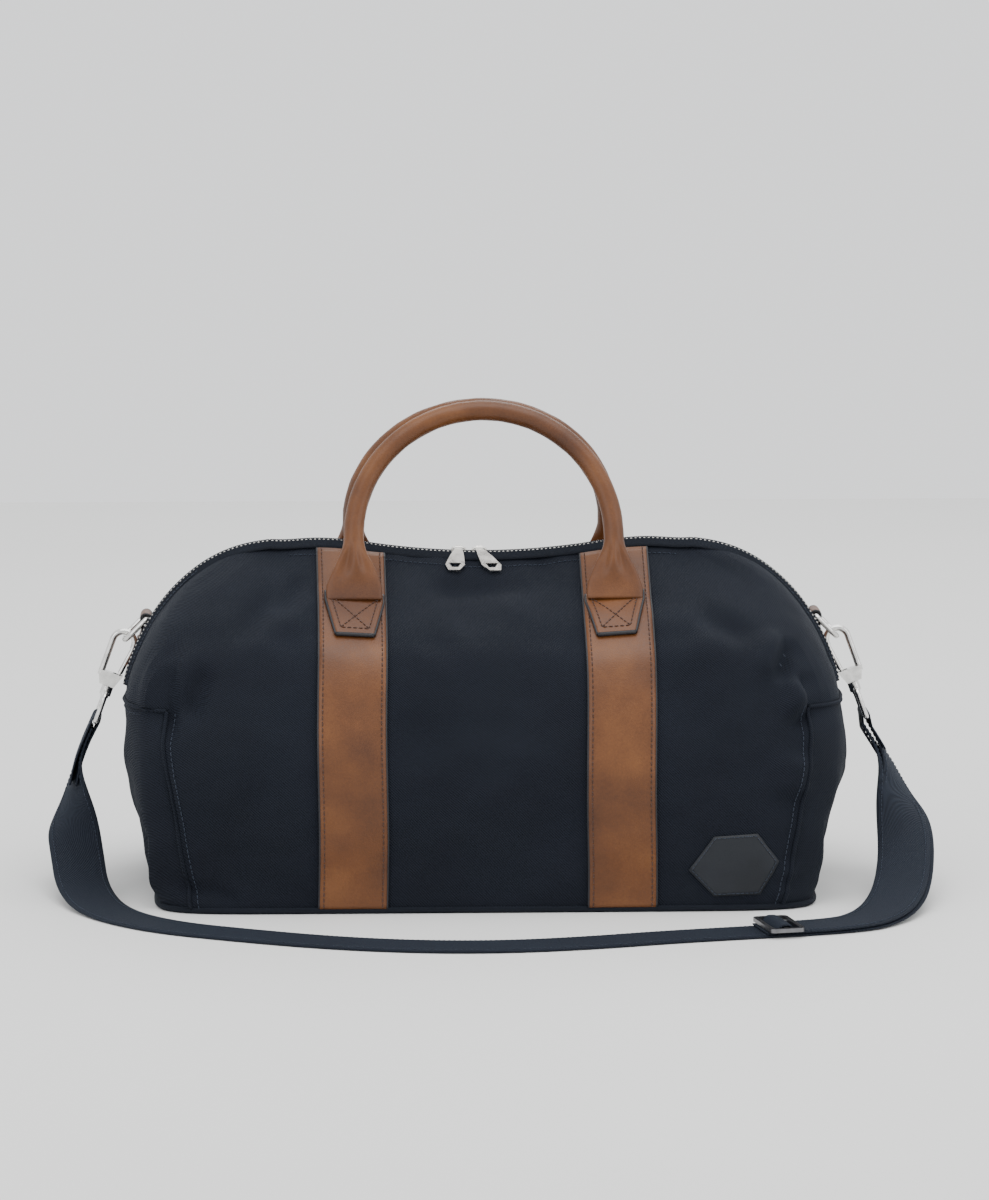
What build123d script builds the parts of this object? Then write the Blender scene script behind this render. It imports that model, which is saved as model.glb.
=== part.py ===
"""Weekender bag: canvas body with a metal zip, leather bands and handles, and a webbing shoulder strap.

Frame: millimetres, +Z up, +X to the right of the front, front face towards -Y, origin at the middle of
the base. The bag stands on its base panel, and the strap lies in front of it on the same surface.
"""

from build123d import *
import math
import os

# ---------------------------------------------------------------- driving dimensions
CANVAS = 2.2  # canvas with its interlining
LINING = 0.8
LEATHER = 2.0
BODY_HEIGHT = 250.0
BASE_HALF_LENGTH = 234.0
BASE_HALF_DEPTH = 125.0
GUSSET_TOP = 143.0  # level seam across each end
SIDE_SEAM_X = 229.0  # where the front panel turns into the end gusset
BASE_UPSTAND = 3.0  # height of the base panel's turned edge
BELOW_BASE = -10.0  # the end outline runs on to here, and the front outline cuts it flat at the base

# The crest sags between the handles along an arc, so a slider turns about that arc's centre.
SAG_RADIUS = 535.0
CREST_LOW = 237.4
SAG_CENTRE_Z = CREST_LOW + SAG_RADIUS
SAG_ARC_HALF = 85.0
CREST_FLAT_X = 170.0

ZIP_TAPE_HALF = 8.0
CREST_HALF_WIDTH = 3.5
TEETH_OUTER = 2.8
TEETH_INNER = 0.8

BAND_X = 95.0
BAND_WIDTH = 48.0
TAB_TOP_WIDTH = 41.0
TAB_FOOT_WIDTH = 27.0
TAB_FOOT_Z = 193.0
TAB_TOP_Z = 219.0

HANDLE_RADIUS = 7.2
HANDLE_CORE_RADIUS = 4.6
HANDLE_LEAN = 21.9  # each handle leans over the zip by this much
HANDLE_PIVOT_Y = 57.0
HANDLE_PIVOT_Z = 223.0
HANDLE_HALF_SPAN = 93.0
HANDLE_TOP_Z = 344.0
NECK_HEIGHT = 36.0  # flared leather between the stitching and the tube
NECK_FOOT_THICKNESS = 3.0

END_Y = 20.0  # the end loops sit behind the zip
LOOP_WIDTH = 22.0
LOOP_FOOT = (253.5, 152.0)  # the end loop's tab runs up the end between these, as (x, z)
LOOP_HEAD = (238.0, 189.0)
LOOP_STANDOFF = 5.5
RING_WIRE = 1.9
RING_WIDTH = 32.0
RING_DROP = 22.0
RING_SWING = 45.0  # the ring hangs this far out from plumb
HOOK_WIRE = 2.3
HOOK_GAP = 0.4
HOOK_LEAN = 20.0
EYE_BAR_DROP = 62.0  # from the ring's wire to the eye's lower bar

WEB_WIDTH = 38.0
WEB_THICK = 1.8
WEB_FLOOR_Z = 1.2  # middle of the webbing where it lies on the surface

FIT = 0.05
CLEAR = 0.3
FAR = 400.0

SIDES = {"left": -1, "right": 1}
FACES = {"front": -1, "back": 1}

# Half outlines of the body, each from the base upwards.
END_PROFILE = [  # (half depth, height) of the front panel, seen from an end
    (BASE_HALF_DEPTH, 0.0),
    (128.0, 60.0),
    (124.0, 115.0),
    (105.0, 172.0),
    (84.0, 195.0),
    (58.0, 214.5),
    (30.0, 233.0),
    (CREST_HALF_WIDTH, BODY_HEIGHT),
]
FRONT_PROFILE = [  # (half length, height), seen from the front
    (BASE_HALF_LENGTH, 0.0),
    (247.0, 60.0),
    (257.0, 135.0),
    (240.0, 186.0),
    (206.0, 226.0),
    (160.0, 248.0),
    (90.0, 262.0),
]
PLAN_CORNER_X = SIDE_SEAM_X + 3.0
PLAN_PROFILE = [  # the left end, seen from above
    (-PLAN_CORNER_X, 130.0),
    (-251.0, 64.0),
    (-258.0, 0.0),
    (-251.0, -64.0),
    (-PLAN_CORNER_X, -130.0),
]

os.makedirs("parts", exist_ok=True)


def save(part, label):
    """Write one finished piece as its own STEP file."""
    part.label = label
    export_step(part, f"parts/{label}.step")


def inset_points(points, inset):
    """Move an outline's points inwards, square to the outline, by the inset (outwards where negative)."""
    moved = []
    for index, point in enumerate(points):
        before = points[max(index - 1, 0)]
        after = points[min(index + 1, len(points) - 1)]
        along = (after[0] - before[0], after[1] - before[1])
        size = math.hypot(*along)
        moved.append((point[0] - inset * along[1] / size, point[1] + inset * along[0] / size))
    return moved


def crest_height(x):
    """Height of the zip's line: the sag's arc, then an easy rise to the full height."""
    reach = abs(x)
    if reach <= SAG_ARC_HALF:
        return SAG_CENTRE_Z - math.sqrt(SAG_RADIUS**2 - reach**2)
    arc_end = SAG_CENTRE_Z - math.sqrt(SAG_RADIUS**2 - SAG_ARC_HALF**2)
    left = max(0.0, (CREST_FLAT_X - reach) / (CREST_FLAT_X - SAG_ARC_HALF))
    return BODY_HEIGHT - (BODY_HEIGHT - arc_end) * left**2


LOFT_STATIONS = [-270, -220, -170, -128, -85, -43, 0, 43, 85, 128, 170, 220, 270]  # along X


def body_form(inset):
    """The body's solid form, with every outer face moved in by the inset."""
    with BuildPart() as form:
        for station in LOFT_STATIONS:
            scale = (crest_height(station) - GUSSET_TOP) / (BODY_HEIGHT - GUSSET_TOP)
            raised = [
                (depth, height if height < GUSSET_TOP else GUSSET_TOP + (height - GUSSET_TOP) * scale)
                for depth, height in END_PROFILE
            ]
            side = inset_points(raised, inset)
            side[0] = (side[0][0], BELOW_BASE)
            crest = side[-1][1]
            with BuildSketch(Plane.YZ.offset(station)):
                with BuildLine():
                    Line((-side[0][0], BELOW_BASE), (side[0][0], BELOW_BASE))
                    Spline(side)
                    Line((side[-1][0], crest), (-side[-1][0], crest))
                    Spline([(-depth, height) for depth, height in reversed(side)])
                make_face()
        loft()
        with BuildSketch(Plane.XZ.offset(-FAR / 2)):
            flank = inset_points(FRONT_PROFILE, inset)
            flank[0] = (flank[0][0], inset)
            with BuildLine():
                Line((-flank[0][0], inset), (flank[0][0], inset))
                Spline(flank)
                Line(flank[-1], (-flank[-1][0], flank[-1][1]))
                Spline([(-length, height) for length, height in reversed(flank)])
            make_face()
        extrude(amount=FAR, mode=Mode.INTERSECT)
        with BuildSketch(Plane.XY.offset(-50)):
            end = inset_points(PLAN_PROFILE, -inset)
            with BuildLine():
                Spline(end)
                Line(end[-1], (-end[-1][0], end[-1][1]))
                Spline([(-length, depth) for length, depth in reversed(end)])
                Line((-end[0][0], end[0][1]), end[0])
            make_face()
        extrude(amount=FAR, mode=Mode.INTERSECT)
    return form.part


OUTSIDE = body_form(0.0)
CANVAS_INSIDE = body_form(CANVAS)
LINING_INSIDE = body_form(CANVAS + LINING)
OVER_BAND = body_form(-LEATHER)
OVER_TAB = body_form(-2 * LEATHER)

with BuildPart() as canvas_skin:
    add(OUTSIDE)
    add(CANVAS_INSIDE, mode=Mode.SUBTRACT)


def keep_box(x, y, z):
    """Keep what lies between the given limits in the part being built."""
    with Locations(((x[0] + x[1]) / 2, (y[0] + y[1]) / 2, (z[0] + z[1]) / 2)):
        Box(x[1] - x[0], y[1] - y[0], z[1] - z[0], mode=Mode.INTERSECT)


def cut_box(x, y, z):
    """Remove what lies between the given limits from the part being built."""
    with Locations(((x[0] + x[1]) / 2, (y[0] + y[1]) / 2, (z[0] + z[1]) / 2)):
        Box(x[1] - x[0], y[1] - y[0], z[1] - z[0], mode=Mode.SUBTRACT)


def span(side, near, far):
    """Limits from near to far on the given side of the middle plane, in rising order."""
    return tuple(sorted((side * near, side * far)))


# ---------------------------------------------------------------- canvas panels
for face, sign in FACES.items():
    with BuildPart() as panel:
        add(canvas_skin.part)
        keep_box((-FAR, FAR), span(sign, 0, FAR), (BASE_UPSTAND, FAR))
        cut_box((-FAR, FAR), (-ZIP_TAPE_HALF, ZIP_TAPE_HALF), (GUSSET_TOP, FAR))
        for side in SIDES.values():
            cut_box(span(side, SIDE_SEAM_X, FAR), (-FAR, FAR), (0, GUSSET_TOP))
    save(panel.part, f"{face}_panel")

for name, side in SIDES.items():
    with BuildPart() as gusset:
        add(canvas_skin.part)
        keep_box(span(side, SIDE_SEAM_X, FAR), (-FAR, FAR), (BASE_UPSTAND, GUSSET_TOP))
    save(gusset.part, f"end_gusset_{name}")

with BuildPart() as base_panel:
    add(canvas_skin.part)
    keep_box((-FAR, FAR), (-FAR, FAR), (0, BASE_UPSTAND))
save(base_panel.part, "base_panel")

# ---------------------------------------------------------------- what the canvas holds inside
BOARD_THICK = 3.0
BOARD_Z = CANVAS + LINING
with BuildPart() as lining:
    add(CANVAS_INSIDE)
    add(LINING_INSIDE, mode=Mode.SUBTRACT)
    cut_box((-FAR, FAR), (-ZIP_TAPE_HALF, ZIP_TAPE_HALF), (GUSSET_TOP, FAR))
save(lining.part, "lining")

with BuildPart() as base_board:
    with BuildSketch(Plane.XY.offset(BOARD_Z)):
        RectangleRounded(2 * BASE_HALF_LENGTH - 26, 2 * BASE_HALF_DEPTH - 26, 14)
    extrude(amount=BOARD_THICK)
save(base_board.part, "base_board")

POCKET_FLAT_Y = 107.0
POCKET_GAP = 5.0
POCKET_SHEET = 1.2
with BuildPart() as slip_pocket:  # an open-topped pocket that hangs on the back lining
    with BuildSketch(Plane.XY.offset(52)):
        with Locations((0, POCKET_FLAT_Y)):
            Rectangle(200, POCKET_GAP + 2 * POCKET_SHEET)
            Rectangle(200 - 2 * POCKET_SHEET, POCKET_GAP, mode=Mode.SUBTRACT)
    extrude(amount=88)
    with BuildSketch(Plane.XY.offset(52)):
        with Locations((0, POCKET_FLAT_Y)):
            Rectangle(200, POCKET_GAP + 2 * POCKET_SHEET)
    extrude(amount=POCKET_SHEET)
save(slip_pocket.part, "slip_pocket")

# ---------------------------------------------------------------- zip
for face, sign in FACES.items():
    with BuildPart() as tape:
        add(canvas_skin.part)
        keep_box((-FAR, FAR), span(sign, TEETH_OUTER, ZIP_TAPE_HALF), (GUSSET_TOP, FAR))
    save(tape.part, f"zip_tape_{face}")
    with BuildPart() as teeth:
        add(canvas_skin.part)
        keep_box((-FAR, FAR), span(sign, TEETH_INNER, TEETH_OUTER), (GUSSET_TOP + 5, FAR))
    save(teeth.part, f"zip_teeth_{face}")

with BuildPart() as zip_stops:  # one crimped stop at each end of the teeth
    add(canvas_skin.part)
    keep_box((-FAR, FAR), (-TEETH_OUTER, TEETH_OUTER), (GUSSET_TOP, GUSSET_TOP + 5))
save(zip_stops.part, "zip_end_stops")

# ---------------------------------------------------------------- leather on the canvas
BAND_LOW_Z = 4.0
for face, sign in FACES.items():
    for name, side in SIDES.items():
        centre = side * BAND_X
        with BuildPart() as band:
            add(OVER_BAND)
            add(OUTSIDE, mode=Mode.SUBTRACT)
            keep_box(
                (centre - BAND_WIDTH / 2, centre + BAND_WIDTH / 2),
                span(sign, ZIP_TAPE_HALF + 1, FAR),
                (BAND_LOW_Z, FAR),
            )
        save(band.part, f"leather_band_{face}_{name}")
        with BuildPart() as tab:
            add(OVER_TAB)
            add(OVER_BAND, mode=Mode.SUBTRACT)
            with BuildSketch(Plane.XZ.offset(0)):
                with BuildLine():
                    Polyline(
                        (centre - TAB_TOP_WIDTH / 2, TAB_TOP_Z),
                        (centre + TAB_TOP_WIDTH / 2, TAB_TOP_Z),
                        (centre + TAB_FOOT_WIDTH / 2, TAB_FOOT_Z),
                        (centre - TAB_FOOT_WIDTH / 2, TAB_FOOT_Z),
                        close=True,
                    )
                make_face()
            extrude(amount=-sign * FAR, mode=Mode.INTERSECT)
        save(tab.part, f"handle_tab_{face}_{name}")

PATCH_OUTLINE = [(142, 30), (160, 54), (191, 56), (206, 36), (193, 12), (160, 11)]
with BuildPart() as corner_patch:
    add(OVER_BAND)
    add(OUTSIDE, mode=Mode.SUBTRACT)
    with BuildSketch(Plane.XZ):
        with BuildLine():
            Polyline(*PATCH_OUTLINE, close=True)
        make_face()
    extrude(amount=FAR, mode=Mode.INTERSECT)
save(corner_patch.part, "corner_patch")

# ---------------------------------------------------------------- handles
# A handle is drawn in its own leaning plane: local x runs along the bag, local y up the handle.
lean = math.radians(HANDLE_LEAN)
TUBE_TOP = (HANDLE_TOP_Z - HANDLE_PIVOT_Z) / math.cos(lean)
ARC_CENTRE = TUBE_TOP - HANDLE_HALF_SPAN

for face, sign in FACES.items():
    up = Vector(0, -sign * math.sin(lean), math.cos(lean))
    across = Vector(1, 0, 0)
    pivot = Vector(0, sign * HANDLE_PIVOT_Y, HANDLE_PIVOT_Z)
    handle_plane = Plane(origin=pivot, x_dir=across, z_dir=across.cross(up))
    with BuildPart() as handle:
        with BuildLine(handle_plane) as route:
            left_leg = Line((-HANDLE_HALF_SPAN, NECK_HEIGHT), (-HANDLE_HALF_SPAN, ARC_CENTRE))
            bow = ThreePointArc(left_leg @ 1, (0, TUBE_TOP), (HANDLE_HALF_SPAN, ARC_CENTRE))
            right_leg = Line(bow @ 1, (HANDLE_HALF_SPAN, NECK_HEIGHT))
        leg_foot = Plane(origin=route.line @ 0, z_dir=up)
        with BuildSketch(leg_foot):
            Circle(HANDLE_RADIUS)
            Circle(HANDLE_CORE_RADIUS + FIT, mode=Mode.SUBTRACT)
        sweep(path=route.line)
        for side in SIDES.values():
            foot = pivot + across * side * HANDLE_HALF_SPAN
            with BuildSketch(Plane(origin=foot, x_dir=across, z_dir=up)) as strip:
                Rectangle(TAB_TOP_WIDTH, NECK_FOOT_THICKNESS)
            with BuildSketch(Plane(origin=foot + up * NECK_HEIGHT * 0.55, x_dir=across, z_dir=up)):
                RectangleRounded(24, 9.5, 4)
            with BuildSketch(Plane(origin=foot + up * NECK_HEIGHT, x_dir=across, z_dir=up)):
                RectangleRounded(2 * HANDLE_RADIUS, 2 * HANDLE_RADIUS, HANDLE_RADIUS - 0.5)
            loft()
    save(handle.part, f"{face}_handle")
    with BuildPart() as core:  # the cord that the leather is rolled round
        with BuildSketch(leg_foot):
            Circle(HANDLE_CORE_RADIUS)
        sweep(path=route.line)
    save(core.part, f"{face}_handle_core")

# ---------------------------------------------------------------- zip sliders and pulls
SLIDER_LENGTH = 12.0
SLIDER_WIDTH = 7.5
SLIDER_X = {"left": -17.0, "right": -2.0}
PULL_DROOP = 33.0  # the pulls lie forwards, along the canvas
PULL_SPLAY = {"left": 8.0, "right": -24.0}
PULL_LENGTH = 25.0
BRIDGE_BAR = 0.9
BRIDGE_Z = 5.6

for name, at_x in SLIDER_X.items():
    swing = math.asin(at_x / SAG_RADIUS)
    along = Vector(math.cos(swing), 0, math.sin(swing))
    normal = Vector(-math.sin(swing), 0, math.cos(swing))
    seat = Vector(at_x, 0, SAG_CENTRE_Z - SAG_RADIUS * math.cos(swing))
    print("slider", name, "degrees from the middle", round(math.degrees(swing), 3), "seat", tuple(seat))
    flat = Plane(origin=seat, x_dir=along, z_dir=normal)
    upright = Plane(origin=seat, x_dir=along, z_dir=along.cross(normal))
    with BuildPart() as slider:
        with BuildSketch(flat.offset(0.4)):
            RectangleRounded(SLIDER_LENGTH, SLIDER_WIDTH, 2.0)
        extrude(amount=1.6)
        with BuildSketch(flat.offset(-CANVAS - LINING - 1.8)):
            RectangleRounded(SLIDER_LENGTH, SLIDER_WIDTH, 2.0)
        extrude(amount=1.2)
        with BuildSketch(flat.offset(-CANVAS - LINING - 1.2)):  # the wedge between the rows of teeth
            Rectangle(3.0, 1.0)
        extrude(amount=CANVAS + LINING + 2.0)
        with BuildLine(upright) as bridge:
            FilletPolyline((-4.6, 1.0), (-4.6, BRIDGE_Z), (4.6, BRIDGE_Z), (4.6, 1.0), radius=1.2)
        with BuildSketch(Plane(origin=bridge.line @ 0, z_dir=bridge.line % 0)):
            Circle(BRIDGE_BAR)
        sweep(path=bridge.line)
    save(slider.part, f"zip_slider_{name}")
    hinge = seat + normal * BRIDGE_Z
    droop = math.radians(PULL_DROOP)
    ahead = (Vector(0, -1, 0) * math.cos(droop) - normal * math.sin(droop)).normalized()
    pull_plane = Plane(origin=hinge, x_dir=along, z_dir=along.cross(ahead))
    splay = math.tan(math.radians(PULL_SPLAY[name]))
    with BuildPart() as pull:
        with BuildSketch(pull_plane.offset(-0.7)):
            with BuildLine():
                Polyline(
                    (-2.6, 1.0),
                    (2.6, 1.0),
                    (5.0 - 9 * splay, 9),
                    (7.0 - 19 * splay, 19),
                    (4.0 - PULL_LENGTH * splay, PULL_LENGTH),
                    (-4.0 - PULL_LENGTH * splay, PULL_LENGTH),
                    (-7.0 - 19 * splay, 19),
                    (-5.0 - 9 * splay, 9),
                    close=True,
                )
            make_face()
            with Locations((-19.5 * splay, 19.5)):
                Trapezoid(9.0, 4.6, 65, mode=Mode.SUBTRACT)
        extrude(amount=1.4)
        with Locations(Plane(origin=hinge, z_dir=along)):
            Cylinder(2.0, 5.2)
            Cylinder(BRIDGE_BAR + FIT, 5.2, mode=Mode.SUBTRACT)
    print("pull", name, "hinge", tuple(hinge), "axis", tuple(along))
    save(pull.part, f"zip_pull_{name}")

# ---------------------------------------------------------------- end loops, rings and snap hooks
slope = Vector(LOOP_HEAD[0] - LOOP_FOOT[0], 0, LOOP_HEAD[1] - LOOP_FOOT[1]).normalized()
outward = Vector(slope.Z, 0, -slope.X)
LOOP_PLATE = 2.6
LOOP_WALL = 2.2

# The hook's own line, drawn with local x outwards and local y downwards from the ring's wire.
BOW_RADIUS = 8.0
BOW_TOP = -(RING_WIRE + HOOK_WIRE + HOOK_GAP)
BOW_CENTRE = BOW_TOP + BOW_RADIUS
GATE_PIN_AT = (-4.5, 30.5)
GATE_PIN_RADIUS = 1.0
BLOCK_LOW = 37.0
BLOCK_HALF = 3.6
STEM_RADIUS = 1.8
EYE_TOP = 41.0
EYE_WIDTH = 44.0
EYE_WIRE = 1.9
SHANK_HEAD = 44.4


def wire_loop(plane, width, drop, radii, wire_radius):
    """A closed rectangular loop of round wire, centred on the plane, in two halves that meet as one solid."""
    with BuildPart() as loop:
        for half in (-1, 1):
            with BuildLine(plane) as bend:
                FilletPolyline(
                    (0, -drop / 2),
                    (half * width / 2, -drop / 2),
                    (half * width / 2, drop / 2),
                    (0, drop / 2),
                    radius=list(radii),
                )
            with BuildSketch(Plane(origin=bend.line @ 0, z_dir=bend.line % 0)):
                Circle(wire_radius)
            sweep(path=bend.line)
    return loop.part


for name, side in SIDES.items():
    loop_at = Vector(LOOP_HEAD[0], 0, LOOP_HEAD[1]) + outward * LOOP_STANDOFF
    loop_at = Vector(side * loop_at.X, END_Y, loop_at.Z)
    profile = Plane(origin=(0, END_Y, 0), x_dir=(side, 0, 0), z_dir=(0, -side, 0))
    foot = Vector(*LOOP_FOOT)
    head = Vector(*LOOP_HEAD)
    out_flat = Vector(outward.X, outward.Z)
    up_flat = Vector(slope.X, slope.Z)
    with BuildPart() as end_loop:
        with BuildSketch(profile):
            with BuildLine():
                Polyline(
                    foot - out_flat * 3,
                    foot + out_flat * LOOP_PLATE,
                    head + out_flat * LOOP_PLATE + up_flat * 3,
                    head - out_flat * 3 + up_flat * 3,
                    close=True,
                )
            make_face()
            with Locations(head + out_flat * LOOP_STANDOFF):
                Circle(RING_WIRE + FIT + LOOP_WALL)
        extrude(amount=LOOP_WIDTH / 2, both=True)
        add(OUTSIDE, mode=Mode.SUBTRACT)
        with Locations(Plane(origin=loop_at, z_dir=(0, 1, 0))):
            Cylinder(RING_WIRE + FIT, 2 * LOOP_WIDTH, mode=Mode.SUBTRACT)
    save(end_loop.part, f"end_loop_{name}")

    swing = math.radians(RING_SWING)
    hang = Vector(side * math.sin(swing), 0, -math.cos(swing))
    ring_middle = loop_at + hang * RING_DROP / 2
    ring_plane = Plane(origin=ring_middle, x_dir=(0, 1, 0), z_dir=Vector(0, 1, 0).cross(hang))
    with BuildPart() as ring:
        add(wire_loop(ring_plane, RING_WIDTH, RING_DROP, (2.6, 9.0), RING_WIRE))
    save(ring.part, f"ring_{name}")

    lean_down = math.radians(HOOK_LEAN)
    down = Vector(side * math.sin(lean_down), 0, -math.cos(lean_down))
    out = Vector(side * math.cos(lean_down), 0, math.sin(lean_down))
    grip = loop_at + hang * RING_DROP
    hook_plane = Plane(origin=grip, x_dir=out, z_dir=out.cross(down))
    with BuildPart() as hook:
        with BuildLine(hook_plane) as hook_line:
            spine = Line((BOW_RADIUS, 31.0), (BOW_RADIUS, BOW_CENTRE))
            bow = ThreePointArc(spine @ 1, (0, BOW_TOP), (-BOW_RADIUS, BOW_CENTRE))
            Line(bow @ 1, (-BOW_RADIUS, BOW_CENTRE + 2.2))
        with BuildSketch(Plane(origin=hook_line.line @ 0, z_dir=hook_line.line % 0)):
            Circle(HOOK_WIRE)
        sweep(path=hook_line.line)
        with BuildSketch(hook_plane.offset(-BLOCK_HALF)):
            with BuildLine():
                Polyline((-8.0, 27.0), (10.6, 27.0), (6.6, BLOCK_LOW), (-4.2, BLOCK_LOW), close=True)
            make_face()
        extrude(amount=2 * BLOCK_HALF)
        with BuildSketch(hook_plane.offset(-2.4)):  # the slot that the gate's knuckle turns in
            with Locations((-5.4, 29.2)):
                Rectangle(9.6, 10.0)
        extrude(amount=4.8, mode=Mode.SUBTRACT)
        pin_plane = Plane(origin=hook_plane.from_local_coords(GATE_PIN_AT + (0,)), z_dir=hook_plane.z_dir)
        with Locations(pin_plane):
            Cylinder(GATE_PIN_RADIUS, 4 * BLOCK_HALF, mode=Mode.SUBTRACT)
        stem_plane = Plane(origin=grip + down * (BLOCK_LOW - 1), z_dir=down)
        with BuildSketch(stem_plane):
            Circle(STEM_RADIUS)
        extrude(amount=SHANK_HEAD - BLOCK_LOW + 1)
        with BuildSketch(Plane(origin=grip + down * SHANK_HEAD, z_dir=down)):
            Circle(3.0)
        extrude(amount=1.6)
    save(hook.part, f"snap_hook_{name}")

    with BuildPart() as gate:
        tip = Vector(-BOW_RADIUS, BOW_CENTRE + 2.2 + CLEAR + 0.5)
        with BuildLine(hook_plane) as gate_line:
            gate_bar = Line(GATE_PIN_AT, (tip.X, tip.Y))
        with BuildSketch(Plane(origin=gate_line.line @ 0, z_dir=gate_line.line % 0)):
            Circle(1.0)
        extrude(amount=gate_bar.length)
        with BuildSketch(Plane(origin=gate_line.line @ 0.2, z_dir=gate_line.line % 0)):
            Circle(1.8)
        extrude(amount=gate_bar.length * 0.8)
        with BuildSketch(pin_plane.offset(-2.0)):
            Circle(2.4)
        extrude(amount=2.2)
        with Locations(pin_plane):
            Cylinder(GATE_PIN_RADIUS + FIT, 4 * BLOCK_HALF, mode=Mode.SUBTRACT)
    save(gate.part, f"hook_gate_{name}")

    with BuildPart() as gate_pin:
        with Locations(pin_plane):
            Cylinder(GATE_PIN_RADIUS, 2 * BLOCK_HALF)
    save(gate_pin.part, f"gate_pin_{name}")

    with BuildPart() as gate_spring:
        with BuildSketch(pin_plane.offset(1.15)):
            Circle(2.1)
            Circle(GATE_PIN_RADIUS + 0.1, mode=Mode.SUBTRACT)
        extrude(amount=1.1)
    save(gate_spring.part, f"gate_spring_{name}")

    middle_drop = (EYE_TOP + EYE_BAR_DROP) / 2
    eye_plane = Plane(origin=grip + down * middle_drop, x_dir=(0, 1, 0), z_dir=Vector(0, 1, 0).cross(down))
    with BuildPart() as eye:
        add(wire_loop(eye_plane, EYE_WIDTH, EYE_BAR_DROP - EYE_TOP, (4.0, 4.0), EYE_WIRE))
        with BuildSketch(Plane(origin=grip + down * (BLOCK_LOW + 0.4), z_dir=down)):
            Circle(4.2)
        extrude(amount=SHANK_HEAD - BLOCK_LOW - 0.6)
        with BuildSketch(stem_plane):
            Circle(STEM_RADIUS + FIT)
        extrude(amount=12, mode=Mode.SUBTRACT)
    save(eye.part, f"strap_eye_{name}")
    print(name, "loop", tuple(loop_at), "grip", tuple(grip), "down", tuple(down), "out", tuple(out))
    print(name, "gate pin", tuple(pin_plane.origin), "eye bar", tuple(grip + down * EYE_BAR_DROP))

# ---------------------------------------------------------------- shoulder strap
STRAP_ROUTE = [
    (-283, 20, 111),
    (-291, 19, 94),
    (-297, 10, 72),
    (-298, -10, 50),
    (-293, -36, 28),
    (-288, -75, 9),
    (-271, -122, WEB_FLOOR_Z),
    (-230, -172, WEB_FLOOR_Z),
    (-170, -204, WEB_FLOOR_Z),
    (-112, -230, WEB_FLOOR_Z),
    (-54, -245, WEB_FLOOR_Z),
    (4, -248, WEB_FLOOR_Z),
    (62, -238, WEB_FLOOR_Z),
    (130, -216.2, WEB_FLOOR_Z),
    (250, -190, WEB_FLOOR_Z),
    (275, -166, 2.5),
    (291, -134, 8),
    (300, -97, 19),
    (305, -58, 35),
    (305, -22, 55),
    (301, 6, 77),
    (291, 19, 96),
    (283, 20, 111),
]
RETURN_ROUTE = [
    (206, -199.6, 3.3),
    (248, -190.4, 3.4),
    (273, -167, 4.9),
    (288.5, -135, 10.6),
    (297.5, -98, 21.5),
    (302.3, -59, 37.3),
    (302, -24, 57),
    (297, 3, 79),
    (287, 17, 97),
    (277.5, 19, 111),
]
RADIUS_SHARE = 0.45


def webbing(points, start_turn, end_turn, label, steps):
    """Flat webbing along a route of straight runs and arcs.

    It lies flat, and turns to its eye's bar at the ends.
    start_turn and end_turn are the lengths over which it turns, as shares of the route, 0 for no turn.
    """
    radii = []
    for before, corner, after in zip(points, points[1:], points[2:]):
        first = Vector(*corner) - Vector(*before)
        second = Vector(*after) - Vector(*corner)
        half_turn = math.radians(first.get_angle(second)) / 2
        radii.append(RADIUS_SHARE * min(first.length, second.length) / math.tan(half_turn))
    print(label, "radii", [round(radius) for radius in radii])
    with BuildLine():
        line = FilletPolyline(*points, radius=radii)
    bar = Vector(0, 1, 0)
    with BuildPart() as strip:
        for step in range(steps + 1):
            share = step / steps
            tangent = (line % share).normalized()
            flat = Vector(0, 0, 1).cross(tangent).normalized()
            turned = 1.0
            sign = 1
            if start_turn and share < start_turn:
                turned = share / start_turn
                sign = -1
            if end_turn and share > 1 - end_turn:
                turned = (1 - share) / end_turn
            across = flat * turned + bar * sign * (1 - turned)
            across = (across - tangent * across.dot(tangent)).normalized()
            with BuildSketch(Plane(origin=line @ share, x_dir=across, z_dir=tangent)):
                Rectangle(WEB_WIDTH, WEB_THICK)
        loft(ruled=True)
    share = strip.part.volume / (line.length * WEB_WIDTH * WEB_THICK)
    print(label, "length", round(line.length, 1), "volume share", round(share, 3))
    save(strip.part, label)


webbing(STRAP_ROUTE, 0.14, 0.14, "strap", 60)
webbing(RETURN_ROUTE, 0.0, 0.48, "strap_return", 24)

ADJUSTER_AT = (200, -200.9)
with BuildPart() as adjuster:  # a three-bar slide that the doubled strap runs through
    adjuster_plane = Plane(origin=ADJUSTER_AT + (4.6,), x_dir=(120, 26.2, 0), z_dir=(0, 0, 1))
    with BuildSketch(adjuster_plane):
        RectangleRounded(25, 47, 4)
        with GridLocations(11, 0, 2, 1):
            RectangleRounded(7.6, 40, 1.5, mode=Mode.SUBTRACT)
    extrude(amount=2.8)
save(adjuster.part, "strap_adjuster")
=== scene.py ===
"""Looks of the weekender bag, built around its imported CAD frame.

Outlines and routes on the cloth are in millimetres, and meshes are written in metres.
"""

import bpy
import math
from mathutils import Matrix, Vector, noise


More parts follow.
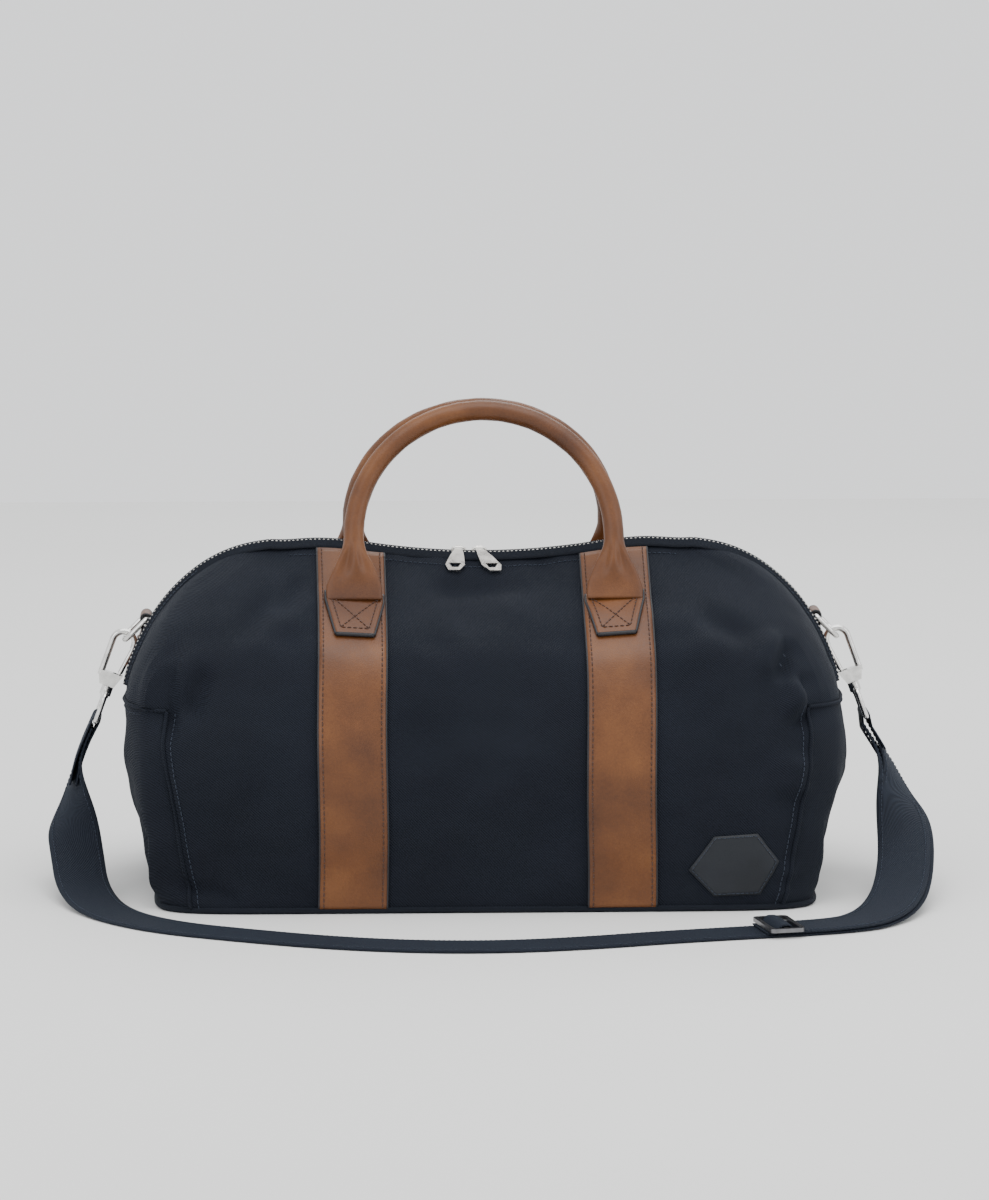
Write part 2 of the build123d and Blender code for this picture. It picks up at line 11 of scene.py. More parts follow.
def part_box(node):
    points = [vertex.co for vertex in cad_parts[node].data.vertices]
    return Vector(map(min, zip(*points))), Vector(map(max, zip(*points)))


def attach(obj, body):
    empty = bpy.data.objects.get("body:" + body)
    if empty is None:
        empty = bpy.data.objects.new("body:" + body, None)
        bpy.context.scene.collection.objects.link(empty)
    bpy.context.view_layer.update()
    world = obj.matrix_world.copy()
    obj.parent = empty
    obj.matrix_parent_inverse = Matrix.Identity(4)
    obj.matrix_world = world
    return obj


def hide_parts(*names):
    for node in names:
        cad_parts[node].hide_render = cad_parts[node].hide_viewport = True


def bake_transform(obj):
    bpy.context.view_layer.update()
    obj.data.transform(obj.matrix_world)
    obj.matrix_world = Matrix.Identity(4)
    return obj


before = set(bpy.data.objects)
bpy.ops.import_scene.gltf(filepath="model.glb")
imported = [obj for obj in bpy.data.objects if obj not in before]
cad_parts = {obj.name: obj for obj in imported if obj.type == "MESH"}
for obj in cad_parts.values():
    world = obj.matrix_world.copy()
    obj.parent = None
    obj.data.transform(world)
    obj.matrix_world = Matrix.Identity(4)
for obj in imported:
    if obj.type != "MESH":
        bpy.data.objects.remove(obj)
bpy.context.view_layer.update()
MM = 0.001

# ---------------------------------------------------------------- sizes in millimetres
CREST_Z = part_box("zip_tape_front")[1].z / MM
SAG_RADIUS = 535.0
CREST_LOW = 237.4
SAG_ARC_HALF = 85.0
CREST_FLAT_X = 170.0
BAND_X = 95.0
BAND_HALF = 24.0
LEATHER = 2.0
CANVAS = 1.6
TAPE_HALF = 8.0
WEB_HALF = 19.0
WEB_THICK = 1.8
HANDLE_RADIUS = 7.2
HANDLE_LEAN = math.radians(21.9)
HANDLE_PIVOT_Y = 57.0
HANDLE_PIVOT_Z = 223.0
HANDLE_HALF_SPAN = 93.0
HANDLE_TOP_Z = 344.0
NECK_HEIGHT = 36.0
TAB_TOP_HALF = 20.5
TAB_FOOT_HALF = 13.5
TAB_TOP_Z = 219.0
TAB_FOOT_Z = 193.0


# ---------------------------------------------------------------- mesh helpers
def mesh_piece(name, points, faces, material, body="bag", smooth=True):
    """A mesh object from points in millimetres, riding on a body, or on none when no body is given."""
    mesh = bpy.data.meshes.new(name)
    mesh.from_pydata([(p[0] * MM, p[1] * MM, p[2] * MM) for p in points], [], faces)
    mesh.validate()
    for polygon in mesh.polygons:
        polygon.use_smooth = smooth
    mesh.materials.append(material)
    piece = bpy.data.objects.new(name, mesh)
    bpy.context.scene.collection.objects.link(piece)
    if body:
        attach(piece, body)
    return piece


def sheet_faces(rows, columns, start=0):
    """Quads of a grid of rows by columns points."""
    faces = []
    for row in range(rows - 1):
        for column in range(columns - 1):
            a = start + row * columns + column
            faces.append((a, a + 1, a + columns + 1, a + columns))
    return faces


def normals_of(points, faces):
    """Smooth normals of a mesh given as points and faces."""
    normals = [Vector((0, 0, 0)) for point in points]
    for face in faces:
        across = points[face[2]] - points[face[0]]
        other = points[face[-1]] - points[face[1]]
        turn = across.cross(other)
        for index in face:
            normals[index] += turn
    return [n.normalized() if n.length > 1e-9 else Vector((0, 0, 1)) for n in normals]


def slab(points, faces, thickness):
    """A closed slab from an open surface: a second layer behind it and a rim between them."""
    normals = normals_of(points, faces)
    count = len(points)
    back = [point - normal * thickness for point, normal in zip(points, normals)]
    edges = {}
    for face in faces:
        for here, after in zip(face, face[1:] + face[:1]):
            edges[(here, after)] = True
    rim = [(b, a, a + count, b + count) for a, b in edges if (b, a) not in edges]
    turned = [tuple(index + count for index in reversed(face)) for face in faces]
    return points + back, faces + turned + rim


def grid_slab(grid, thickness, flip=False):
    """A slab from rows of points; flip turns its front side over."""
    faces = sheet_faces(len(grid), len(grid[0]))
    if flip:
        faces = [tuple(reversed(face)) for face in faces]
    return slab([point for row in grid for point in row], faces, thickness)


def tube_mesh(path, radius, sides=12, caps=True):
    """Points and faces of a tube along a list of points; radius is a number or a function of the share."""
    points = []
    faces = []
    side = None
    for index, here in enumerate(path):
        tangent = (path[min(index + 1, len(path) - 1)] - path[max(index - 1, 0)]).normalized()
        if side is None:
            side = tangent.orthogonal().normalized()
        side = (side - tangent * side.dot(tangent)).normalized()
        other = tangent.cross(side)
        share = index / (len(path) - 1)
        size = radius(share) if callable(radius) else radius
        for step in range(sides):
            angle = 2 * math.pi * step / sides
            points.append(here + side * math.cos(angle) * size + other * math.sin(angle) * size)
    for index in range(len(path) - 1):
        for step in range(sides):
            a = index * sides + step
            b = index * sides + (step + 1) % sides
            faces.append((a, b, b + sides, a + sides))
    if caps:
        faces.append(tuple(reversed(range(sides))))
        faces.append(tuple(range(len(points) - sides, len(points))))
    return points, faces


def merge_meshes(parts):
    """One list of points and faces from several."""
    points = []
    faces = []
    for part_points, part_faces in parts:
        start = len(points)
        points += part_points
        faces += [tuple(index + start for index in face) for face in part_faces]
    return points, faces


# ---------------------------------------------------------------- materials
def new_material(name):
    material = bpy.data.materials.new(name)
    material.use_nodes = True
    nodes = material.node_tree.nodes
    return material, nodes, material.node_tree.links, nodes["Principled BSDF"]


def math_node(nodes, links, operation, a, b=None, c=None):
    node = nodes.new("ShaderNodeMath")
    node.operation = operation
    for index, value in enumerate((a, b, c)):
        if value is None:
            continue
        if isinstance(value, (int, float)):
            node.inputs[index].default_value = value
        else:
            links.new(value, node.inputs[index])
    return node.outputs[0]


def axes_of(nodes, links):
    place = nodes.new("ShaderNodeTexCoord")
    split = nodes.new("ShaderNodeSeparateXYZ")
    links.new(place.outputs["Object"], split.inputs[0])
    return place.outputs["Object"], split.outputs


def noise_of(nodes, links, place, scale, detail=4.0):
    texture = nodes.new("ShaderNodeTexNoise")
    texture.inputs["Scale"].default_value = scale
    texture.inputs["Detail"].default_value = detail
    links.new(place, texture.inputs["Vector"])
    return texture.outputs["Fac"]


def ramp_of(nodes, links, factor, stops):
    ramp = nodes.new("ShaderNodeValToRGB")
    while len(ramp.color_ramp.elements) < len(stops):
        ramp.color_ramp.elements.new(0.5)
    for element, (position, colour) in zip(ramp.color_ramp.elements, stops):
        element.position = position
        element.color = (*colour, 1)
    links.new(factor, ramp.inputs[0])
    return ramp.outputs[0]


def bump_of(nodes, links, height, distance, strength=1.0, before=None):
    bump = nodes.new("ShaderNodeBump")
    bump.inputs["Distance"].default_value = distance
    bump.inputs["Strength"].default_value = strength
    links.new(height, bump.inputs["Height"])
    if before is not None:
        links.new(before, bump.inputs["Normal"])
    return bump.outputs[0]


def woven(name, dark, light, pitch, sheen, direction=(1.0, 0.85, 1.0)):
    """Twill: fine diagonal ribs crossed by the yarn's own pitch, with uneven dyeing and a dusty sheen."""
    material, nodes, links, shader = new_material(name)
    place, (x, y, z) = axes_of(nodes, links)
    turn = 2 * math.pi / (pitch * MM)
    ribs = math_node(nodes, links, "MULTIPLY", x, direction[0] * turn)
    ribs = math_node(nodes, links, "MULTIPLY_ADD", y, direction[1] * turn, ribs)
    ribs = math_node(nodes, links, "MULTIPLY_ADD", z, direction[2] * turn, ribs)
    ribs = math_node(nodes, links, "SINE", ribs)
    yarn = math_node(nodes, links, "MULTIPLY", x, -1.7 * turn)
    yarn = math_node(nodes, links, "MULTIPLY_ADD", y, -1.5 * turn, yarn)
    yarn = math_node(nodes, links, "MULTIPLY_ADD", z, 1.6 * turn, yarn)
    yarn = math_node(nodes, links, "SINE", yarn)
    weave = math_node(nodes, links, "MULTIPLY_ADD", yarn, 0.45, ribs)
    slub = noise_of(nodes, links, place, 900, 2)
    cloud = noise_of(nodes, links, place, 14, 5)
    shade = math_node(nodes, links, "MULTIPLY_ADD", weave, 0.16, 0.12)
    shade = math_node(nodes, links, "MULTIPLY_ADD", slub, 0.45, shade)
    shade = math_node(nodes, links, "MULTIPLY_ADD", cloud, 0.35, shade)
    links.new(ramp_of(nodes, links, shade, [(0.2, dark), (0.8, light)]), shader.inputs["Base Color"])
    fine = bump_of(nodes, links, weave, 0.00022, 0.9)
    links.new(bump_of(nodes, links, slub, 0.0003, 0.5, fine), shader.inputs["Normal"])
    rough = math_node(nodes, links, "MULTIPLY_ADD", slub, 0.2, 0.72)
    links.new(rough, shader.inputs["Roughness"])
    shader.inputs["Sheen Weight"].default_value = sheen
    shader.inputs["Sheen Roughness"].default_value = 0.45
    shader.inputs["Sheen Tint"].default_value = (0.45, 0.6, 0.85, 1)
    shader.inputs["Specular IOR Level"].default_value = 0.16
    return material


def leather(name, dark, mid, light, rough=0.42, coat=0.05):
    """Smooth leather: pebbled grain, soft mottling and paler rubbed patches."""
    material, nodes, links, shader = new_material(name)
    place = axes_of(nodes, links)[0]
    cells = nodes.new("ShaderNodeTexVoronoi")
    cells.inputs["Scale"].default_value = 1100
    links.new(place, cells.inputs["Vector"])
    mottle = noise_of(nodes, links, place, 22, 6)
    fine = noise_of(nodes, links, place, 650, 3)
    tone = math_node(nodes, links, "MULTIPLY_ADD", fine, 0.22, -0.1)
    tone = math_node(nodes, links, "MULTIPLY_ADD", mottle, 0.95, tone)
    colour = ramp_of(nodes, links, tone, [(0.22, dark), (0.5, mid), (0.78, light)])
    links.new(colour, shader.inputs["Base Color"])
    grain = bump_of(nodes, links, cells.outputs["Distance"], 0.00025, 0.35)
    links.new(bump_of(nodes, links, mottle, 0.0012, 0.25, grain), shader.inputs["Normal"])
    links.new(math_node(nodes, links, "MULTIPLY_ADD", fine, 0.22, rough - 0.08), shader.inputs["Roughness"])
    shader.inputs["Coat Weight"].default_value = coat
    shader.inputs["Coat Roughness"].default_value = 0.3
    shader.inputs["Specular IOR Level"].default_value = 0.34
    return material


def metal(name, colour, rough):
    """Polished nickel with hairline marks and a little tarnish in patches."""
    material, nodes, links, shader = new_material(name)
    place = axes_of(nodes, links)[0]
    wear = noise_of(nodes, links, place, 160, 6)
    hair = noise_of(nodes, links, place, 2400, 2)
    deep = tuple(part * 0.72 for part in colour)
    links.new(ramp_of(nodes, links, wear, [(0.3, deep), (0.62, colour)]), shader.inputs["Base Color"])
    links.new(math_node(nodes, links, "MULTIPLY_ADD", wear, 0.18, rough - 0.06), shader.inputs["Roughness"])
    links.new(bump_of(nodes, links, hair, 0.00006, 0.35), shader.inputs["Normal"])
    shader.inputs["Metallic"].default_value = 1.0
    return material


def plain_weave(name, dark, light):
    return woven(name, dark, light, 1.1, 0.1, (1.0, 1.0, 0.0))


canvas = woven("navy_canvas", (0.0022, 0.0030, 0.0058), (0.0095, 0.0125, 0.0205), 2.1, 0.02)
WEBBING_DARK = (0.0036, 0.0049, 0.0088)
WEBBING_LIGHT = (0.0125, 0.0165, 0.0262)
webbing_cloth = woven("navy_webbing", WEBBING_DARK, WEBBING_LIGHT, 1.7, 0.05, (1.0, -1.0, 0.9))
tape_cloth = woven("zip_tape_cloth", (0.003, 0.004, 0.007), (0.011, 0.014, 0.022), 1.0, 0.03)
lining_cloth = plain_weave("lining_cloth", (0.03, 0.035, 0.05), (0.06, 0.07, 0.09))
tan = leather("tan_leather", (0.050, 0.0145, 0.0030), (0.100, 0.0325, 0.0068), (0.165, 0.0600, 0.0150))
edge_paint = leather("edge_paint", (0.006, 0.006, 0.008), (0.010, 0.010, 0.013), (0.016, 0.016, 0.02), 0.5)
PATCH_TONES = [(0.004, 0.005, 0.008), (0.007, 0.009, 0.013), (0.011, 0.013, 0.019)]
patch_leather = leather("patch_leather", *PATCH_TONES, 0.55, 0.03)
thread = woven("tan_thread", (0.05, 0.02, 0.008), (0.13, 0.055, 0.02), 0.7, 0.2)
navy_thread = woven("navy_thread", (0.02, 0.025, 0.04), (0.05, 0.055, 0.07), 0.7, 0.2)
nickel = metal("nickel", (0.78, 0.77, 0.75), 0.2)
dark_metal = metal("dark_nickel", (0.2, 0.2, 0.21), 0.32)
zip_nickel = metal("zip_nickel", (0.8, 0.78, 0.74), 0.26)
board_fibre = leather("board_fibre", (0.1, 0.08, 0.05), (0.16, 0.12, 0.08), (0.2, 0.16, 0.11), 0.8, 0.0)


# ---------------------------------------------------------------- the body's surface
def profile(table, value):
    """A table of (across, height) read at a height, by a smooth cubic through the points."""
    if value <= table[0][1]:
        return table[0][0]
    if value >= table[-1][1]:
        return table[-1][0]
    for index in range(len(table) - 1):
        low, high = table[index], table[index + 1]
        if low[1] <= value <= high[1]:
            break
    before = table[max(index - 1, 0)]
    after = table[min(index + 2, len(table) - 1)]
    span = high[1] - low[1]
    share = (value - low[1]) / span
    slope_low = (high[0] - before[0]) / (high[1] - before[1]) * span
    slope_high = (after[0] - low[0]) / (after[1] - low[1]) * span
    square = share * share
    cube = square * share
    return ((2 * cube - 3 * square + 1) * low[0] + (cube - 2 * square + share) * slope_low
            + (3 * square - 2 * cube) * high[0] + (cube - square) * slope_high)


END_PROFILE = [(125, 0), (128, 60), (124, 115), (105, 172), (84, 195), (58, 214.5), (30, 233), (3.5, 250)]
FRONT_PROFILE = [(234, 0), (247, 60), (257, 135), (240, 186), (206, 226), (160, 248), (90, 262)]
SEAM_HEIGHT = 143.0


def crest_height(x):
    """Height of the zip line: a sagging arc in the middle, level beyond."""
    size = abs(x)
    if size <= SAG_ARC_HALF:
        return CREST_LOW + SAG_RADIUS - math.sqrt(SAG_RADIUS ** 2 - x * x)
    edge = CREST_LOW + SAG_RADIUS - math.sqrt(SAG_RADIUS ** 2 - SAG_ARC_HALF ** 2)
    if size >= CREST_FLAT_X:
        return 250.0
    return 250.0 - (250.0 - edge) * ((CREST_FLAT_X - size) / (CREST_FLAT_X - SAG_ARC_HALF)) ** 2


def profile_curve():
    """The end profile as evenly spread points (half depth, height) from the base to the crest."""
    raw = []
    for index in range(len(END_PROFILE) - 1):
        before = Vector(END_PROFILE[max(index - 1, 0)])
        low = Vector(END_PROFILE[index])
        high = Vector(END_PROFILE[index + 1])
        after = Vector(END_PROFILE[min(index + 2, len(END_PROFILE) - 1)])
        for step in range(12):
            t = step / 12
            point = (low * 2 + (high - before) * t + (before * 2 - low * 5 + high * 4 - after) * t * t
                     + (low * 3 - before - high * 3 + after) * t ** 3) * 0.5
            raw.append(point)
    raw.append(Vector(END_PROFILE[-1]))
    return raw


RAW_PROFILE = profile_curve()
RAW_LENGTHS = [0.0]
for here, after in zip(RAW_PROFILE, RAW_PROFILE[1:]):
    RAW_LENGTHS.append(RAW_LENGTHS[-1] + (after - here).length)


def on_profile(share):
    """(half depth, height) at a share of the way from base to crest."""
    wanted = share * RAW_LENGTHS[-1]
    for index in range(len(RAW_PROFILE) - 1):
        if RAW_LENGTHS[index + 1] >= wanted:
            break
    part = (wanted - RAW_LENGTHS[index]) / (RAW_LENGTHS[index + 1] - RAW_LENGTHS[index])
    return RAW_PROFILE[index].lerp(RAW_PROFILE[index + 1], min(max(part, 0.0), 1.0))


def bump_shape(value, centre, width):
    return math.exp(-((value - centre) / width) ** 2)


def crease(x, z, ax, az, bx, bz, width, depth):
    """A fold along the line from a to b: a narrow valley with a soft ridge at one side."""
    along = Vector((bx - ax, bz - az))
    length = along.length
    along = along / length
    offset = Vector((x - ax, z - az))
    run = offset.dot(along) / length
    across = offset.x * along.y - offset.y * along.x
    if run < -0.25 or run > 1.25:
        return 0.0
    fade = math.exp(-((run - 0.5) / 0.42) ** 4)
    valley = -math.exp(-(across / width) ** 2)
    ridge = 0.75 * math.exp(-((across - 1.9 * width) / (1.5 * width)) ** 2)
    return 1.9 * depth * fade * (valley + ridge)


# folds seen on the front, as (ax, az, bx, bz, width, depth)
FRONT_FOLDS = [
    (-224, 190, -226, 118, 7, 6.0),
    (-236, 118, -226, 48, 7, 4.5),
    (-200, 176, -214, 134, 9, 4.2),
    (-226, 52, -233, 8, 8, 4.0),
    (-232, 30, -196, 8, 6, 2.5),
    (-205, 20, -170, 4, 6, 2.0),
    (-150, 205, -128, 228, 7, 2.0),
    (-178, 190, -150, 222, 8, 2.2),
    (218, 190, 206, 160, 6, 4.0),
    (223, 166, 232, 142, 5, 4.5),
    (240, 150, 216, 128, 6, 3.5),
    (238, 110, 234, 78, 9, 4.5),
    (224, 36, 222, 4, 6, 3.0),
    (205, 24, 230, 8, 6, 2.0),
    (-48, 219, 44, 221, 7, 2.2),
    (-30, 206, 20, 203, 10, 1.6),
    (60, 215, 130, 213, 7, 1.8),
    (132, 178, 150, 118, 18, 1.6),
    (-60, 150, -20, 70, 26, 1.8),
    (150, 205, 190, 190, 8, 2.4),
    (20, 110, 60, 40, 24, 1.4),
    (-140, 120, -170, 60, 20, 1.8),
]
BACK_FOLDS = [(-x1 + 8, z1, -x2 + 8, z2, width, depth * 0.9) for x1, z1, x2, z2, width, depth in FRONT_FOLDS]


def softness(x, z, side):
    """How far the cloth of the front (side -1) or back (side 1) stands in or out of its pattern."""
    waves = noise.fractal(Vector((x * 0.011, z * 0.015, 3.0 * side)), 0.9, 2.1, 3) * 3.4
    pucker = noise.noise(Vector((x * 0.05, z * 0.02, 9 + side))) * 0.9 * bump_shape(z, 236, 18)
    total = waves + pucker
    for ax, az, bx, bz, width, depth in (FRONT_FOLDS if side < 0 else BACK_FOLDS):
        total += crease(x, z, ax, az, bx, bz, width, depth)
    calm = 1.0
    for centre in (-BAND_X, BAND_X):
        calm *= 1 - 0.8 * bump_shape(x, centre, 27)
    return total * calm * min(1.0, z / 16) * min(1.0, max(0.0, (CREST_Z - z)) / 12 + 0.12)


def end_roundness(height):
    """How square the corner is in plan: nearly square at the base, softer towards the zip."""
    return 10.0 - 4.0 * min(height / 140.0, 1.0) - 1.8 * max(0.0, (height - 143.0) / 107.0)


def sagged(x, height):
    """A height above the seam, lowered with the sagging zip line."""
    if height <= SEAM_HEIGHT:
        return height
    drawn = SEAM_HEIGHT + (height - SEAM_HEIGHT) * (crest_height(x) - SEAM_HEIGHT) / (250.0 - SEAM_HEIGHT)
    shoulder = math.exp(-((abs(x) - 148.0) / 24.0) ** 2)
    return drawn - 3.6 * shoulder * ((height - SEAM_HEIGHT) / (250.0 - SEAM_HEIGHT)) ** 3


SIDE_SEAM_X = 229.0


def shell_base(x, share, side):
    """A place on the pattern of the front (side -1) or back (side 1), at x and a share of the profile."""
    depth, height = on_profile(share)
    half = max(profile(FRONT_PROFILE, height), 152.0)
    power = end_roundness(height)
    ratio = min(abs(x) / half, 0.9995)
    y = depth * (1 - ratio ** power) ** (1 / power)
    return Vector((x, side * max(y, 3.5), sagged(x, height)))


def end_base(swing, height, end):
    """A place on the end (end -1 left, 1 right); swing from -1 at the front seam to 1 at the back seam."""
    depth = on_profile(share_at(height)).x
    half = max(profile(FRONT_PROFILE, height), 152.0)
    power = end_roundness(height)
    corner = seam_x(height) / half
    edge = (1 - corner ** power) ** (1 / power)
    ratio = abs(swing) * edge
    x = half * (1 - ratio ** power) ** (1 / power)
    y = depth * edge * swing
    if abs(y) < 3.5 and height > SEAM_HEIGHT:
        y = 3.5 * (1 if swing > 0 else -1)
    return Vector((end * x, y, sagged(x, height)))


def seam_x(height):
    """Where the front panel turns the corner: at the side seam below, and in proportion above it."""
    half = max(profile(FRONT_PROFILE, height), 152.0)
    return min(SIDE_SEAM_X, half * SIDE_SEAM_X / 257.0)


def end_softness(y, z, end):
    """Stand-out of the cloth on an end."""
    waves = noise.fractal(Vector((y * 0.014 + 40 * end, z * 0.016, 7.0)), 0.9, 2.1, 3) * 3.0
    waves += crease(y, z, -60, 130, -20, 60, 9, 3.0) + crease(y, z, 70, 120, 40, 40, 10, 2.5)
    waves += crease(y, z, -100, 60, -85, 8, 8, 3.0) + crease(y, z, 96, 50, 84, 8, 8, 2.6)
    return waves * min(1.0, z / 16)


def share_at(height):
    """The profile's share at a height."""
    low, high = 0.0, 1.0
    for step in range(26):
        middle = (low + high) / 2
        if on_profile(middle).y < height:
            low = middle
        else:
            high = middle
    return (low + high) / 2


def skin(x, share, side, lift=0.0):
    """A place on the finished cloth of the front or back, lift above it."""
    here = shell_base(x, share, side)
    right = shell_base(x + 1.5, share, side) - shell_base(x - 1.5, share, side)
    up = shell_base(x, min(share + 0.006, 1.0), side) - shell_base(x, max(share - 0.006, 0.0), side)
    out = right.cross(up).normalized() * (-side)
    return here + out * (softness(here.x, here.z, side) + lift)


def end_skin(swing, height, end, lift):
    """A place on the finished cloth of an end, drawn to the side seam where it meets the front or back."""
    here = end_base(swing, height, end)
    side = -1 if swing < 0 else 1
    near = max(0.0, (abs(swing) - 0.86) / 0.14)
    soft = end_softness(here.y, here.z, end) * (1 - near) + softness(here.x, here.z, side) * near
    place = here + Vector((end, 0, 0)) * (soft + lift)
    seam = skin(end * seam_x(height), share_at(height), side, lift)
    return place.lerp(seam, near * near)


# ---------------------------------------------------------------- canvas body
ROWS = 118
MIDDLE = 210
CORNER = 16
SEAM_SHARE = share_at(SEAM_HEIGHT)


def panel_rows():
    lower = [SEAM_SHARE * index / (ROWS // 2) for index in range(ROWS // 2)]
    upper = [SEAM_SHARE + (1 - SEAM_SHARE) * index / (ROWS // 2) for index in range(ROWS // 2 + 1)]
    return lower + upper


def panel(side, lift, thickness, name, material, node):
    """The front or back panel, wrapping the corners above the seam."""
    points = []
    rows = panel_rows()
    columns = MIDDLE + 2 * CORNER + 1
    for share in rows:
        height = on_profile(share).y
        corner = seam_x(height)
        for column in range(columns):
            if CORNER <= column <= columns - 1 - CORNER:
                across = -1 + 2 * (column - CORNER) / MIDDLE
                points.append(skin(corner * across, share, side, lift))
                continue
            end = -1 if column < CORNER else 1
            part = (CORNER - column) if end < 0 else (column - (columns - 1 - CORNER))
            swing = side * (1 - part / CORNER * 0.97)
            here = end_base(swing, height, end)
            ahead = end_base(swing * 0.98, height, end)
            above = end_base(swing, min(height + 1.0, 250.0), end)
            below = end_base(swing, height - 1.0, end)
            out = (ahead - here).cross(above - below)
            out = out.normalized() if out.length > 1e-9 else Vector((end, 0, 0))
            if out.x * end < 0:
                out = -out
            blend_in = min(1.0, part / 3)
            soft = (1 - blend_in) * softness(here.x, here.z, side)
            calmer = 1 - 0.4 * min(1.0, max(0.0, height - SEAM_HEIGHT) / 30)
            soft += blend_in * end_softness(here.y, here.z, end) * calmer
            soft *= min(1.0, (250.0 - height) / 30 + 0.1)
            points.append(here + out * (soft + lift))
    faces = []
    for row in range(len(rows) - 1):
        for column in range(columns - 1):
            outside = column < CORNER or column >= columns - 1 - CORNER
            if outside and row < ROWS // 2:
                continue
            a = row * columns + column
            face = (a, a + 1, a + columns + 1, a + columns)
            faces.append(face if side < 0 else tuple(reversed(face)))
    used = sorted({index for face in faces for index in face})
    order = {old: new for new, old in enumerate(used)}
    faces = [tuple(order[index] for index in face) for face in faces]
    piece = mesh_piece(name, *slab([points[index] for index in used], faces, thickness), material)
    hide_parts(*node)
    return piece


panel(-1, 0.0, CANVAS, "canvas_front", canvas, ["front_panel"])
panel(1, 0.0, CANVAS, "canvas_back", canvas, ["back_panel"])


def gusset(end, lift, thickness, name, material, node, top=SEAM_HEIGHT):
    """An end gusset from the base to the level seam."""
    grid = []
    rows = ROWS // 2
    columns = 86
    for row in range(rows + 1):
        height = top * row / rows
        line = []
        for column in range(columns + 1):
            line.append(end_skin(-1 + 2 * column / columns, height, end, lift))
        grid.append(line)
    piece = mesh_piece(name, *grid_slab(grid, thickness, end < 0), material)
    if node:
        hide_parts(*node)
    return piece


gusset(-1, 0.0, CANVAS, "canvas_end_left", canvas, ["end_gusset_left"])
gusset(1, 0.0, CANVAS, "canvas_end_right", canvas, ["end_gusset_right"])


def base_outline(count, grow=0.0, height=0.0):
    """The outline of the base in plan, anticlockwise."""
    half = FRONT_PROFILE[0][0] + grow
    depth = END_PROFILE[0][0] + grow
    power = end_roundness(height)
    outline = []
    for index in range(count):
        angle = 2 * math.pi * index / count
        c, s = math.cos(angle), math.sin(angle)
        x = half * math.copysign(abs(c) ** (2 / power), c)
        y = depth * math.copysign(abs(s) ** (2 / power), s)
        outline.append(Vector((x, y, 0)))
    return outline


def base_cloth():
    """The base panel: flat where it stands, turned up a little at its edge."""
    outline = base_outline(160)
    rings = [0.0, 0.25, 0.5, 0.7, 0.85, 0.94, 0.975, 1.0]
    points = [Vector((0, 0, 0.3))]
    for ring in rings[1:]:
        for point in outline:
            rise = 0.3 + 2.2 * max(0.0, (ring - 0.94) / 0.06) ** 2
            ripple = noise.noise(point * ring * 0.02) * 0.3 * (1 - ring)
            points.append(Vector((point.x * ring, point.y * ring, rise + ripple)))
    faces = [(0, 1 + (index + 1) % 160, 1 + index) for index in range(160)]
    for ring in range(len(rings) - 2):
        for index in range(160):
            a = 1 + ring * 160 + index
            b = 1 + ring * 160 + (index + 1) % 160
            faces.append((b, b + 160, a + 160, a))
    piece = mesh_piece("canvas_base", *slab(points, faces, CANVAS), canvas)
    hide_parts("base_panel")


base_cloth()


def binding():
    """The narrow dark binding along the base edge."""
    ring = base_outline(220, 0.9)
    path = [Vector((p.x, p.y, 2.6)) for p in ring] + [Vector((ring[0].x, ring[0].y, 2.6))]
    points, faces = tube_mesh(path, 2.1, 10, False)
    mesh_piece("base_binding", points, faces, tape_cloth)


binding()


# ---------------------------------------------------------------- lining and pocket
def inner_wall(side):
    points = []
    rows = [0.012 + 0.975 * index / 40 for index in range(41)]
    for share in rows:
        for column in range(73):
            across = -1 + column / 36
            half = seam_x(on_profile(share).y)
            points.append(skin(half * across, share, side, -CANVAS - 1.2))
    faces = sheet_faces(41, 73)
    if side > 0:
        faces = [tuple(reversed(face)) for face in faces]
    return slab(points, faces, 0.8)


def lining_pieces():
    """The lining follows the canvas from inside; the slip pocket hangs on its back wall."""
    walls = merge_meshes([inner_wall(-1), inner_wall(1)])
    piece = mesh_piece("lining_walls", *walls, lining_cloth)
    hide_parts("lining")
    for end, end_name in ((-1, "left"), (1, "right")):
        gusset(end, -CANVAS - 1.2, 0.8, f"lining_end_{end_name}", lining_cloth, [], 142.0)
    low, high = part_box("slip_pocket")
    grid = []
    for row in range(15):
        height = low.z / MM + (high.z - low.z) / MM * row / 14
        share = share_at(height)
        line = []
        for column in range(31):
            x = low.x / MM + (high.x - low.x) / MM * column / 30
            line.append(skin(x, share, 1, -CANVAS - 3.6 - 2.0 * math.sin(math.pi * column / 30) * row / 14))
        grid.append(line)
    pocket = mesh_piece("pocket_cloth", *grid_slab(grid, 0.8, True), lining_cloth)
    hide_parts("slip_pocket")


lining_pieces()


# ---------------------------------------------------------------- stitches
def stitch_mesh(path, out, pitch=4.2, share=0.68, radius=0.42):
    """A row of single stitches lying along a path; out gives the lift direction at each place."""
    lengths = [0.0]
    for here, after in zip(path, path[1:]):
        lengths.append(lengths[-1] + (after - here).length)
    total = lengths[-1]

    def at(value):
        for index in range(len(path) - 1):
            if lengths[index + 1] >= value:
                break
        span = max(lengths[index + 1] - lengths[index], 1e-9)
        part = min(max((value - lengths[index]) / span, 0), 1)
        return path[index].lerp(path[index + 1], part), out[index].lerp(out[index + 1], part)

    parts = []
    count = max(1, int(total / pitch))
    for index in range(count):
        begin = (index + (1 - share) / 2) * total / count
        finish = begin + share * total / count
        line = []
        for step in range(4):
            place, lift = at(begin + (finish - begin) * step / 3)
            line.append(place + lift * (radius * (0.75 if step in (1, 2) else -0.3)))
        parts.append(tube_mesh(line, radius, 5))
    return merge_meshes(parts)


